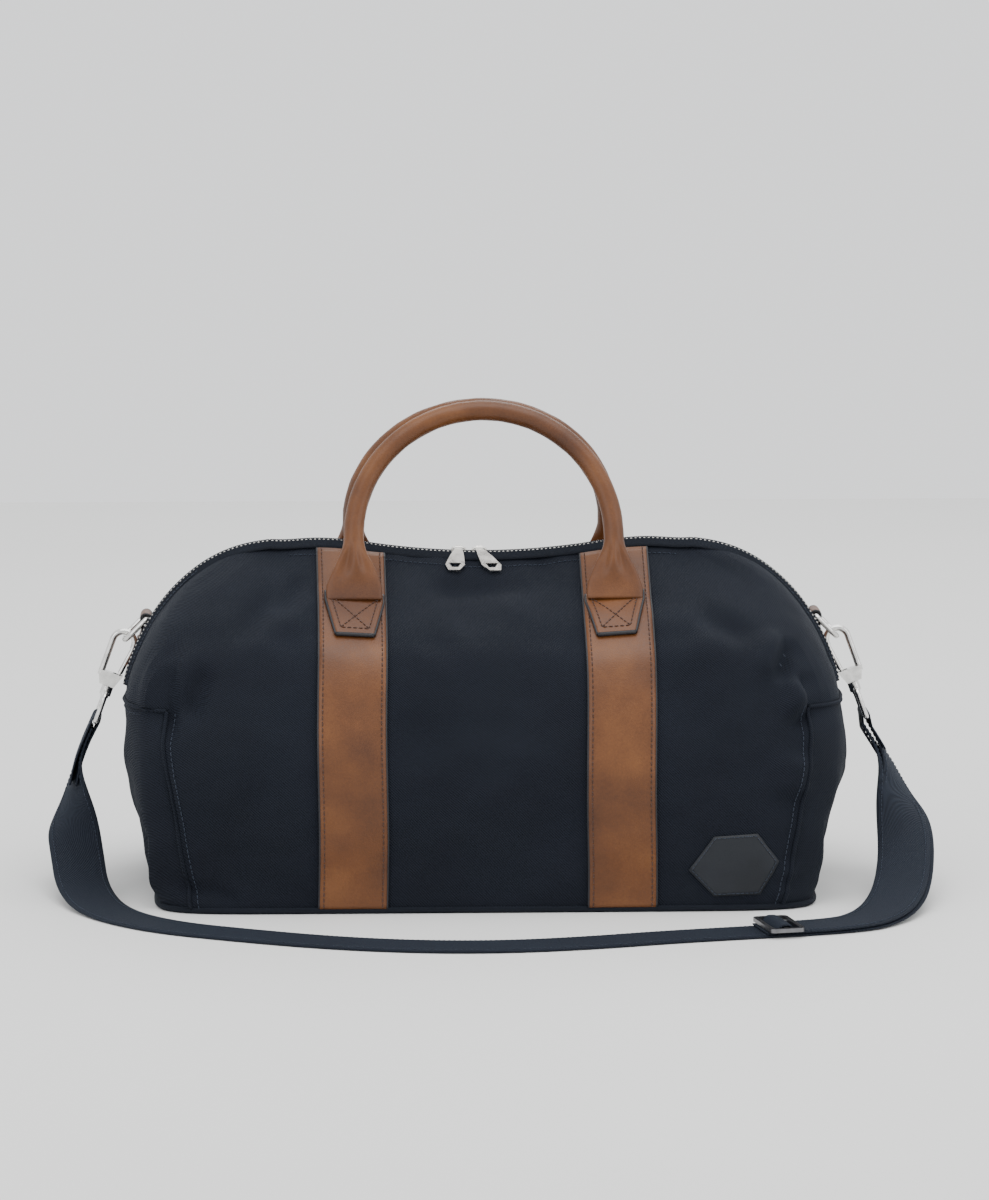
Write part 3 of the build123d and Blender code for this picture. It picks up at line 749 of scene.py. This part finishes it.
def skin_line(places, side, lift):
    """Points on the cloth through (x, height) places, with the outward direction at each."""
    path = []
    out = []
    for x, height in places:
        share = share_at(height) if height < 249.5 else 1.0
        low = skin(x, share, side, lift)
        path.append(low)
        out.append((skin(x, share, side, lift + 1.0) - low).normalized())
    return path, out


def straight(ax, az, bx, bz, count):
    return [(ax + (bx - ax) * i / count, az + (bz - az) * i / count) for i in range(count + 1)]


# ---------------------------------------------------------------- leather bands and tabs
BAND_TOP = 246.2


def strip_on_skin(x_of, heights, side, lift, thickness, columns=14):
    """A strip of leather over the cloth; x_of gives its two edges at a height."""
    grid = []
    for height in heights:
        left, right = x_of(height)
        share = share_at(height)
        places = [left + (right - left) * column / columns for column in range(columns + 1)]
        grid.append([skin(place, share, side, lift) for place in places])
    return grid_slab(grid, thickness, side > 0)


def edge_line(x_of, heights, side, lift, which, radius):
    path = [skin(x_of(height)[which], share_at(height), side, lift) for height in heights]
    return tube_mesh(path, radius, 7)


def band(side, x, name, node):
    heights = [4 + (BAND_TOP - 4) * index / 90 for index in range(91)]

    def edges(height):
        wander = 0.5 * math.sin(height / 23 + x)
        return x - BAND_HALF + wander, x + BAND_HALF + wander

    strip = strip_on_skin(edges, heights, side, LEATHER + 0.5, LEATHER)
    piece = mesh_piece(name, *strip, tan)
    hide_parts(node)
    borders = [edge_line(edges, heights, side, LEATHER - 0.3, which, 0.95) for which in (0, 1)]
    mesh_piece(name + "_edges", *merge_meshes(borders), edge_paint)
    rows = []
    for which, inset in ((0, 3.2), (1, -3.2)):
        places = [(edges(height)[which] + inset, height) for height in heights]
        rows.append(stitch_mesh(*skin_line(places, side, LEATHER + 0.55)))
    mesh_piece(name + "_stitches", *merge_meshes(rows), thread)


def tab(side, x, name, node):
    heights = [TAB_FOOT_Z + (TAB_TOP_Z - TAB_FOOT_Z) * index / 18 for index in range(19)]

    def edges(height):
        share = (height - TAB_FOOT_Z) / (TAB_TOP_Z - TAB_FOOT_Z)
        half = TAB_FOOT_HALF + (TAB_TOP_HALF - TAB_FOOT_HALF) * min(1.0, share * 1.25)
        return x - half, x + half

    lift = LEATHER * 2 + 0.9
    piece = mesh_piece(name, *strip_on_skin(edges, heights, side, lift, LEATHER), tan)
    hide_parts(node)
    borders = [edge_line(edges, heights, side, lift - 0.8, which, 1.0) for which in (0, 1)]
    foot = [skin(edges(TAB_FOOT_Z)[0] + 2 * TAB_FOOT_HALF * i / 8, share_at(TAB_FOOT_Z), side, lift - 0.6)
            for i in range(9)]
    borders.append(tube_mesh(foot, 1.5, 8))
    mesh_piece(name + "_edges", *merge_meshes(borders), edge_paint)
    low, high = TAB_FOOT_Z + 4, TAB_TOP_Z - 3.5
    a, b = TAB_FOOT_HALF - 3.5, TAB_TOP_HALF - 4
    lines = [
        straight(x - a, low, x + a, low, 6),
        straight(x + a, low, x + b, high, 8),
        straight(x + b, high, x - b, high, 8),
        straight(x - b, high, x - a, low, 8),
        straight(x - a, low, x + b, high, 10),
        straight(x + a, low, x - b, high, 10),
    ]
    rows = [stitch_mesh(*skin_line(line, side, lift + 0.05), pitch=3.4) for line in lines]
    mesh_piece(name + "_stitches", *merge_meshes(rows), thread)


for side, side_name in ((-1, "front"), (1, "back")):
    for x, end_name in ((-BAND_X, "left"), (BAND_X, "right")):
        band(side, x, f"band_{side_name}_{end_name}", f"leather_band_{side_name}_{end_name}")
        spot = f"{side_name}_{end_name}"
        tab(side, math.copysign(HANDLE_HALF_SPAN, x), f"tab_{spot}", f"handle_tab_{spot}")


# ---------------------------------------------------------------- handles
def handle_place(side, x, rise):
    """A place on a handle's centre plane, rise measured along its lean from the pivot."""
    return Vector((x, side * (HANDLE_PIVOT_Y - rise * math.sin(HANDLE_LEAN)),
                   HANDLE_PIVOT_Z + rise * math.cos(HANDLE_LEAN)))


ARC_CENTRE = (HANDLE_TOP_Z - HANDLE_PIVOT_Z) / math.cos(HANDLE_LEAN) - HANDLE_HALF_SPAN


def handle_path():
    """(x, rise) along the left leg, over the arc and down the right leg."""
    line = [(-HANDLE_HALF_SPAN, -9 + (ARC_CENTRE + 9) * i / 26) for i in range(26)]
    for index in range(73):
        angle = math.pi - math.pi * index / 72
        line.append((HANDLE_HALF_SPAN * math.cos(angle), ARC_CENTRE + HANDLE_HALF_SPAN * math.sin(angle)))
    line += [(HANDLE_HALF_SPAN, ARC_CENTRE - (ARC_CENTRE + 9) * i / 26) for i in range(1, 27)]
    return line


def handle(side, side_name):
    """Rolled leather grip: round in the hand, gathered down to a flat foot over each tab."""
    line = handle_path()
    centre = [handle_place(side, x, rise) for x, rise in line]
    points = []
    sides = 44
    away = Vector((0, side * math.cos(HANDLE_LEAN), math.sin(HANDLE_LEAN)))
    for index, (x, rise) in enumerate(line):
        tangent = (centre[min(index + 1, len(line) - 1)] - centre[max(index - 1, 0)]).normalized()
        wide = tangent.cross(away).normalized()
        flat = max(0.0, min(1.0, (NECK_HEIGHT - rise) / (NECK_HEIGHT + 2)))
        flat = flat * flat * (3 - 2 * flat)
        half_wide = HANDLE_RADIUS + (19.6 - HANDLE_RADIUS) * flat
        half_thick = HANDLE_RADIUS + (2.6 - HANDLE_RADIUS) * flat ** 0.8
        gather = math.sin(math.pi * min(1.0, flat * 1.05)) if flat < 0.95 else 0.0
        for step in range(sides):
            angle = 2 * math.pi * step / sides
            c, s = math.cos(angle), math.sin(angle)
            power = 1.0 - 0.25 * flat
            across = half_wide * math.copysign(abs(c) ** power, c)
            deep = half_thick * math.copysign(abs(s) ** power, s)
            pleat = gather * (2.0 * math.cos(5 * c + 0.6 * side) + 0.9 * math.sin(9 * c + 1.3)) * abs(s)
            crush = 0.28 * noise.noise(Vector((centre[index].x * 0.12, angle * 1.4, 5 * side + rise * 0.12)))
            seam = -0.55 * math.exp(-((angle - math.pi * 1.5) / 0.13) ** 2) * (1 - flat)
            grow = 1 + (seam + crush) / HANDLE_RADIUS
            lift = deep * grow + pleat * math.copysign(1, s)
            points.append(centre[index] + wide * across * grow + away * lift)
    faces = []
    for index in range(len(line) - 1):
        for step in range(sides):
            a = index * sides + step
            b = index * sides + (step + 1) % sides
            faces.append((a, b, b + sides, a + sides))
    faces.append(tuple(reversed(range(sides))))
    faces.append(tuple(range(len(points) - sides, len(points))))
    piece = mesh_piece(f"{side_name}_grip", points, faces, tan, None)
    blend_handle(piece)
    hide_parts(f"{side_name}_handle", f"{side_name}_handle_core")


def blend_handle(piece):
    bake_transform(piece)


handle(-1, "front")
handle(1, "back")


# ---------------------------------------------------------------- zip
def zip_path(count):
    """The zip's line in its own plane: along the crest and down both ends, as (x, z)."""
    half = []
    for index in range(count + 1):
        height = 250.0 - (250.0 - SEAM_HEIGHT - 1.5) * index / count
        half.append((profile(FRONT_PROFILE, height), height))
    half = [(x, sagged(x, z)) for x, z in half]
    left = [(-x, z) for x, z in reversed(half)]
    middle = []
    edge = half[0][0]
    for index in range(1, 2 * count):
        x = -edge + 2 * edge * index / (2 * count)
        middle.append((x, sagged(x, 250.0)))
    return [Vector((x, 0, z)) for x, z in left + middle + half]


def even(path, pitch):
    lengths = [0.0]
    for here, after in zip(path, path[1:]):
        lengths.append(lengths[-1] + (after - here).length)
    count = int(lengths[-1] / pitch)
    places = []
    index = 0
    for step in range(count + 1):
        wanted = min(step * lengths[-1] / count, lengths[-1] - 1e-6)
        while lengths[index + 1] < wanted:
            index += 1
        part = (wanted - lengths[index]) / (lengths[index + 1] - lengths[index])
        places.append(path[index].lerp(path[index + 1], part))
    return places


def outward(path):
    """The direction out of the bag at each place of a path in the zip's plane."""
    out = []
    for index in range(len(path)):
        run = path[min(index + 1, len(path) - 1)] - path[max(index - 1, 0)]
        out.append(Vector((-run.z, 0, run.x)).normalized())
    return out


ZIP_LIFT = 2.0


def zip_tape(side, name, node):
    path = even(zip_path(60), 3.0)
    out = outward(path)
    grid = []
    for here, up in zip(path, out):
        line = []
        for across in (1.1, 2.2, 3.2, 4.4, 6.0, TAPE_HALF):
            drop = 0.9 * max(0.0, across - 2.2)
            line.append(here + up * (ZIP_LIFT + 0.9 - drop) + Vector((0, side * across, 0)))
        grid.append(line)
    piece = mesh_piece(name, *grid_slab(grid, 1.1, side < 0), tape_cloth)
    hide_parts(node)


def tooth(here, up, run, side, turn):
    """One cast tooth: a rounded block whose nose crosses the middle line."""
    across = Vector((0, side, 0))
    profile_points = [(3.3, 0.75), (1.2, 0.85), (0.2, 0.62), (-0.75, 0.5)]
    points = []
    for reach, half in profile_points:
        for a, b in ((-1, -0.75), (1, -0.75), (1.0, 0.6), (0.55, 1.0), (-0.55, 1.0), (-1.0, 0.6)):
            points.append(here + across * reach + run * (half * a + turn) + up * (ZIP_LIFT + 0.9 + 0.95 * b))
    faces = []
    for ring in range(3):
        for step in range(6):
            a = ring * 6 + step
            b = ring * 6 + (step + 1) % 6
            faces.append((a, b, b + 6, a + 6))
    faces.append((5, 4, 3, 2, 1, 0))
    faces.append((18, 19, 20, 21, 22, 23))
    return points, faces


def zip_teeth(side, name, node):
    pitch = 3.1
    path = even(zip_path(60), pitch / 2)
    out = outward(path)
    parts = []
    for index in range(1 if side < 0 else 2, len(path) - 1, 2):
        up = out[index]
        run = Vector((up.z, 0, -up.x))
        parts.append(tooth(path[index], up, run, side, 0.0))
    piece = mesh_piece(name, *merge_meshes(parts), zip_nickel, smooth=False)
    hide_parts(node)


zip_tape(-1, "zip_tape_cloth_front", "zip_tape_front")
zip_tape(1, "zip_tape_cloth_back", "zip_tape_back")
zip_teeth(-1, "zip_tooth_row_front", "zip_teeth_front")
zip_teeth(1, "zip_tooth_row_back", "zip_teeth_back")


# ---------------------------------------------------------------- shoulder strap
STRAP_ROUTE = [
    (-0.283, 0.020, 0.111), (-0.291, 0.019, 0.094), (-0.297, 0.010, 0.072), (-0.298, -0.010, 0.050),
    (-0.293, -0.036, 0.028), (-0.288, -0.075, 0.009), (-0.271, -0.122, 0.0012), (-0.230, -0.172, 0.0012),
    (-0.170, -0.204, 0.0012), (-0.112, -0.230, 0.0012), (-0.054, -0.245, 0.0012), (0.004, -0.248, 0.0012),
    (0.062, -0.238, 0.0012), (0.130, -0.2162, 0.0012), (0.250, -0.190, 0.0012), (0.275, -0.166, 0.0025),
    (0.291, -0.134, 0.008), (0.300, -0.097, 0.019), (0.305, -0.058, 0.035), (0.305, -0.022, 0.055),
    (0.301, 0.006, 0.077), (0.291, 0.019, 0.096), (0.283, 0.020, 0.111),
]
RETURN_ROUTE = [
    (0.206, -0.1996, 0.0033), (0.248, -0.1904, 0.0034), (0.273, -0.167, 0.0049), (0.2885, -0.135, 0.0106),
    (0.2975, -0.098, 0.0215), (0.3023, -0.059, 0.0373), (0.302, -0.024, 0.057), (0.297, 0.003, 0.079),
    (0.287, 0.017, 0.097), (0.2775, 0.019, 0.111),
]


def spline_points(name, route):
    """Points along the NURBS line of a route, in millimetres."""
    curve = bpy.data.curves.new(name + "_line", "CURVE")
    curve.dimensions = "3D"
    spline = curve.splines.new("NURBS")
    spline.points.add(len(route) - 1)
    for point, place in zip(spline.points, route):
        point.co = (*place, 1)
    spline.order_u = 3
    spline.use_endpoint_u = True
    spline.resolution_u = 16
    thing = bpy.data.objects.new(name + "_line", curve)
    mesh = bpy.data.meshes.new_from_object(thing)
    points = [vertex.co / MM for vertex in mesh.vertices]
    bpy.data.objects.remove(thing)
    bpy.data.meshes.remove(mesh)
    return points


def length_of(path):
    return sum((after - here).length for here, after in zip(path, path[1:]))


def width_directions(path, turn_start, turn_end):
    """The ribbon's width direction along a path: level on the run, along Y at the eyes."""
    total = length_of(path)
    travelled = 0.0
    directions = []
    tangents = []
    for index in range(len(path)):
        if index:
            travelled += (path[index] - path[index - 1]).length
        share = travelled / total
        tangent = (path[min(index + 1, len(path) - 1)] - path[max(index - 1, 0)]).normalized()
        level = Vector((-tangent.y, tangent.x, 0))
        level = level.normalized() if level.length > 0.02 else Vector((0, -1, 0))
        mix = 1.0
        if turn_start:
            mix = min(mix, share / turn_start)
        if turn_end:
            mix = min(mix, (1 - share) / turn_end)
        mix = mix * mix * (3 - 2 * mix)
        across = Vector((0, -1, 0)).lerp(level, mix)
        across = (across - tangent * across.dot(tangent)).normalized()
        directions.append(across)
        tangents.append(tangent)
    return directions, tangents


def ribbon(path, directions, half, thickness):
    """A woven ribbon with rounded selvedges."""
    section = []
    for index in range(13):
        across = -1 + index / 6
        section.append((across * half, (0.5 - 0.22 * abs(across) ** 6) * thickness))
    for index in range(12, -1, -1):
        across = -1 + index / 6
        section.append((across * half, -(0.5 - 0.22 * abs(across) ** 6) * thickness))
    points = []
    for index, here in enumerate(path):
        tangent = (path[min(index + 1, len(path) - 1)] - path[max(index - 1, 0)]).normalized()
        up = directions[index].cross(tangent).normalized()
        for across, rise in section:
            points.append(here + directions[index] * across + up * rise)
    sides = len(section)
    faces = []
    for index in range(len(path) - 1):
        for step in range(sides):
            a = index * sides + step
            b = index * sides + (step + 1) % sides
            faces.append((a, a + sides, b + sides, b))
    faces.append(tuple(range(sides)))
    faces.append(tuple(reversed(range(len(points) - sides, len(points)))))
    return points, faces


def lay_strap(name, route, node, turn_start, turn_end):
    path = spline_points(name, route)
    directions, tangents = width_directions(path, turn_start, turn_end)
    piece = mesh_piece(name, *ribbon(path, directions, WEB_HALF, WEB_THICK), webbing_cloth)
    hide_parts(node)
    ridges = []
    for offset in (-15.5, 15.5):
        line = [here + across * offset for here, across in zip(path, directions)]
        ups = [across.cross(tangent).normalized() for across, tangent in zip(directions, tangents)]
        for sign in (1, -1):
            lifted = [place + up * sign * WEB_THICK * 0.5 for place, up in zip(line, ups)]
            ridges.append(stitch_mesh(lifted, [up * sign for up in ups], pitch=3.6, radius=0.3))
    seams = mesh_piece(name + "_stitches", *merge_meshes(ridges), navy_thread)
    return path


main_path = lay_strap("shoulder_strap", STRAP_ROUTE, "strap", 0.14, 0.14)
return_path = lay_strap("strap_return_run", RETURN_ROUTE, "strap_return", 0, 0.48)


def eye_loop(end, path, name):
    """Webbing folded round the eye's lower bar and sewn down on itself."""
    bar = Vector((end * 279.83, 20, 117.31))
    run = list(path) if end < 0 else list(reversed(path))
    low = 70 if end < 0 else 90
    near = run[:next(index for index, place in enumerate(run) if place.z < low)]
    inner = []
    outer = []
    for index in range(len(near) - 1):
        tangent = (near[index] - near[index + 1]).normalized()
        off = Vector((tangent.z, 0, -tangent.x)).normalized() * end
        inner.append(near[index] - off * 2.3)
        outer.append(near[index] + off * (2.3 + (2.2 if end > 0 else 0)))
    away = (near[0] - near[4]).normalized()
    sweep = []
    flat = Vector((away.z, 0, -away.x)).normalized() * end
    for step in range(13):
        angle = math.pi * step / 12
        sweep.append(bar - flat * math.cos(angle) * 2.7 + away * math.sin(angle) * 2.7)
    line = list(reversed(inner[3:])) + sweep + outer[3:]
    line = [Vector((place.x, 20 + (place.y - 20) * 0.9, place.z)) for place in line]
    directions = [Vector((0, -1, 0))] * len(line)
    piece = mesh_piece(name, *ribbon(line, directions, WEB_HALF - 0.6, 1.6), webbing_cloth, None)
    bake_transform(piece)


eye_loop(-1, main_path, "eye_loop_webbing_left")
eye_loop(1, return_path, "eye_loop_webbing_right")


# ---------------------------------------------------------------- patch
def patch():
    outline = [(142, 30), (160, 54), (191, 56), (206, 36), (193, 12), (160, 11)]
    middle = Vector((sum(x for x, z in outline) / 6, sum(z for x, z in outline) / 6))
    rim = []
    for index in range(6):
        here = Vector(outline[index])
        after = Vector(outline[(index + 1) % 6])
        for step in range(10):
            rim.append(here.lerp(after, step / 10))
    points = []
    for ring in range(9):
        grow = 0.02 + 0.98 * ring / 8
        for place in rim:
            spot = middle.lerp(place, grow)
            points.append(skin(spot.x, share_at(spot.y), -1, 1.5 if ring < 8 else 1.2))
    count = len(rim)
    faces = [tuple(range(count))]
    for ring in range(8):
        for index in range(count):
            a = ring * count + index
            b = ring * count + (index + 1) % count
            faces.append((a, a + count, b + count, b))
    shell = slab(points, [tuple(reversed(face)) for face in faces], 1.6)
    piece = mesh_piece("patch", *shell, patch_leather)
    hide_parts("corner_patch")
    border = [middle.lerp(place, 0.93) for place in rim] + [middle.lerp(rim[0], 0.93)]
    path, out = skin_line([(place.x, place.y) for place in border], -1, 1.55)
    mesh_piece("patch_stitches", *stitch_mesh(path, out, pitch=3.2, radius=0.32), navy_thread)


patch()


# ---------------------------------------------------------------- leather end loops
END_Y = 20.0
LOOP_FOOT = Vector((253.5, 0, 152.0))
LOOP_HEAD = Vector((238.0, 0, 189.0))
LOOP_STANDOFF = 5.5


def end_tab(end, name, node):
    """A leather strip folded over the ring's upper bar, its two ends sewn to the bag's end."""
    rise = (LOOP_HEAD - LOOP_FOOT).normalized()
    out = Vector((rise.z, 0, -rise.x))
    centre = LOOP_HEAD + out * LOOP_STANDOFF
    ring_turn = []
    for step in range(19):
        angle = math.radians(200 - 230 * step / 18)
        ring_turn.append(centre + out * math.cos(angle) * 3.5 + rise * math.sin(angle) * 3.5)
    under = LOOP_HEAD - rise * 6 + out * 1.2
    path = [LOOP_FOOT + out * 1.4, LOOP_FOOT.lerp(LOOP_HEAD, 0.35) + out * 1.6,
            LOOP_FOOT.lerp(LOOP_HEAD, 0.7) + out * 1.5, under] + ring_turn
    path += [LOOP_HEAD - rise * 9 + out * 4.4, LOOP_FOOT.lerp(LOOP_HEAD, 0.45) + out * 4.0,
             LOOP_FOOT.lerp(LOOP_HEAD, 0.1) + out * 3.6]
    path = [Vector((end * place.x, END_Y, place.z)) for place in even(path, 1.4)]
    directions = [Vector((0, end, 0))] * len(path)
    piece = mesh_piece(name, *ribbon(path, directions, 11.0, 2.0), tan)
    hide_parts(node)
    borders = [tube_mesh([place + Vector((0, offset, 0)) for place in path], 0.95, 7) for offset in (-11, 11)]
    mesh_piece(name + "_edges", *merge_meshes(borders), edge_paint)
    face = [Vector((end * place.x, END_Y, place.z)) for place in
            [LOOP_FOOT.lerp(LOOP_HEAD, 0.12 + 0.5 * step / 12) + out * 5.2 for step in range(13)]]
    lift = Vector((end * out.x, 0, out.z))
    rows = [stitch_mesh([place + Vector((0, offset, 0)) for place in face], [lift] * 13, pitch=3.2)
            for offset in (-8, 8)]
    mesh_piece(name + "_stitches", *merge_meshes(rows), thread)


end_tab(-1, "end_tab_left", "end_loop_left")
end_tab(1, "end_tab_right", "end_loop_right")


# ---------------------------------------------------------------- seams
def seam_rolls():
    """Raised seams: up the side seams and level across the ends, with the stitching beside them."""
    for end, name in ((-1, "left"), (1, "right")):
        rolls = []
        rows = []
        for side in (-1, 1):
            heights = [3 + (SEAM_HEIGHT - 3) * step / 60 for step in range(61)]
            line = [skin(end * seam_x(height), share_at(height), side, 0.5) for height in heights]
            rolls.append(tube_mesh(line, 1.5, 8))
            beside = [(end * (seam_x(height) - 5.5), height) for height in heights]
            rows.append(stitch_mesh(*skin_line(beside, side, 0.25), pitch=3.8, radius=0.36))
        across = []
        above = []
        for step in range(61):
            across.append(end_skin(-1 + step / 30, SEAM_HEIGHT, end, 0.5))
            above.append(across[-1] + Vector((end * -0.1, 0, -5.0)))
        rolls.append(tube_mesh(across, 1.5, 8))
        rows.append(stitch_mesh(above, [Vector((end, 0, 0))] * 61, pitch=3.8, radius=0.36))
        mesh_piece(f"seam_roll_{name}", *merge_meshes(rolls), canvas)
        mesh_piece(f"seam_stitches_{name}", *merge_meshes(rows), navy_thread)


seam_rolls()


def zip_side_stitches():
    """A row of stitches along each side of the zip, on the canvas."""
    rows = []
    for side in (-1, 1):
        places = [(x, 243.5) for x in range(-140, 141, 4)]
        rows.append(stitch_mesh(*skin_line(places, side, 0.2), pitch=3.6, radius=0.33))
        for end in (-1, 1):
            line = []
            for step in range(40):
                height = 242 - (242 - SEAM_HEIGHT - 4) * step / 39
                here = end_base(side * 0.16, height, end)
                line.append(here + Vector((end * 1.2, 0, 0.6)))
            rows.append(stitch_mesh(line, [Vector((end * 0.9, 0, 0.4))] * 40, pitch=3.6, radius=0.36))
    mesh_piece("zip_side_stitches", *merge_meshes(rows), navy_thread)


zip_side_stitches()


# ---------------------------------------------------------------- webbing over the adjuster's bar
def adjuster_hump():
    """The strap's free layer rising through one window of the slide and down the other."""
    along = Vector((120, 26.2, 0)).normalized()
    centre = Vector((200, -200.9, 0))
    line = []
    for step in range(33):
        run = -13.5 + 27 * step / 32
        rise = 3.2 + 5.4 * math.exp(-(run / 6.0) ** 4)
        line.append(centre + along * run + Vector((0, 0, rise)))
    across = Vector((-along.y, along.x, 0))
    hump = ribbon(line, [across] * len(line), WEB_HALF - 0.4, 1.5)
    mesh_piece("adjuster_webbing", *hump, webbing_cloth, "adjuster")


adjuster_hump()


# ---------------------------------------------------------------- the CAD metal and other kept nodes
def dress(node, material):
    thing = bpy.data.objects.get(node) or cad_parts[node]
    thing = thing if isinstance(thing, bpy.types.Object) else bpy.data.objects[thing]
    for index in range(max(1, len(thing.material_slots))):
        if index < len(thing.material_slots):
            thing.material_slots[index].material = material
        else:
            thing.data.materials.append(material)


def dress_kept_nodes():
    for end in ("left", "right"):
        for node in ("ring", "snap_hook", "hook_gate", "gate_pin", "gate_spring", "strap_eye"):
            dress(f"{node}_{end}", nickel)
        for node in ("zip_slider", "zip_pull"):
            dress(f"{node}_{end}", zip_nickel)
    dress("zip_end_stops", zip_nickel)
    dress("strap_adjuster", dark_metal)
    dress("base_board", board_fibre)


dress_kept_nodes()


# ---------------------------------------------------------------- floor, light and camera
FLOOR_REACH = 4.5
FLOOR_BACK = 2.1


def studio():
    material, nodes, links, shader = new_material("plinth_grey")
    place = axes_of(nodes, links)[0]
    soft = noise_of(nodes, links, place, 1.3, 3)
    links.new(ramp_of(nodes, links, soft, [(0.3, (0.70, 0.70, 0.69)), (0.7, (0.73, 0.73, 0.72))]),
              shader.inputs["Base Color"])
    shader.inputs["Roughness"].default_value = 0.75
    corners = [(x * FLOOR_REACH, -FLOOR_REACH) for x in (-1, 1)]
    corners += [(x * FLOOR_REACH, FLOOR_BACK) for x in (1, -1)]
    mesh = bpy.data.meshes.new("studio_floor")
    mesh.from_pydata([(x, y, 0.0) for x, y in corners], [], [(0, 1, 2, 3)])
    mesh.materials.append(material)
    floor = bpy.data.objects.new("studio_floor", mesh)
    bpy.context.scene.collection.objects.link(floor)
    world = bpy.data.worlds.new("studio_air")
    world.use_nodes = True
    world.node_tree.nodes["Background"].inputs[0].default_value = (0.955, 0.965, 0.975, 1)
    world.node_tree.nodes["Background"].inputs[1].default_value = 1.4
    bpy.context.scene.world = world


def lamp(name, place, target, size, power, colour=(1, 1, 1)):
    data = bpy.data.lights.new(name, "AREA")
    data.shape = "RECTANGLE"
    data.size, data.size_y = size
    data.energy = power
    data.color = colour
    thing = bpy.data.objects.new(name, data)
    thing.location = place
    thing.rotation_euler = (Vector(target) - Vector(place)).to_track_quat("-Z", "Y").to_euler()
    bpy.context.scene.collection.objects.link(thing)


studio()
lamp("overhead_softbox", (0.2, -0.5, 2.3), (0, 0, 0.1), (2.2, 1.6), 40)
lamp("front_left_softbox", (-2.0, -2.2, 1.3), (0, 0, 0.15), (1.3, 1.6), 20, (0.97, 0.98, 1))
lamp("right_softbox", (2.3, -1.2, 1.2), (0, 0, 0.15), (1.1, 1.5), 16)
lamp("back_light", (0.3, 1.8, 1.7), (0, 0.2, 0.3), (1.8, 0.9), 14)

CAMERA_AIM = Vector((0.007, -0.06, 0.214))
azimuth = math.radians(-2.0)
elevation = math.radians(8.5)
distance = 4.2
view = bpy.data.cameras.new("camera")
view.lens = 50
view.sensor_fit = "HORIZONTAL"
view.sensor_width = 36
view.angle = math.radians(9.6)
camera = bpy.data.objects.new("camera", view)
flat = math.cos(elevation)
offset = Vector((math.sin(azimuth) * flat, -math.cos(azimuth) * flat, math.sin(elevation)))
camera.location = CAMERA_AIM + offset * distance
camera.rotation_euler = (-offset).to_track_quat("-Z", "Y").to_euler()
bpy.context.scene.collection.objects.link(camera)
bpy.context.scene.camera = camera
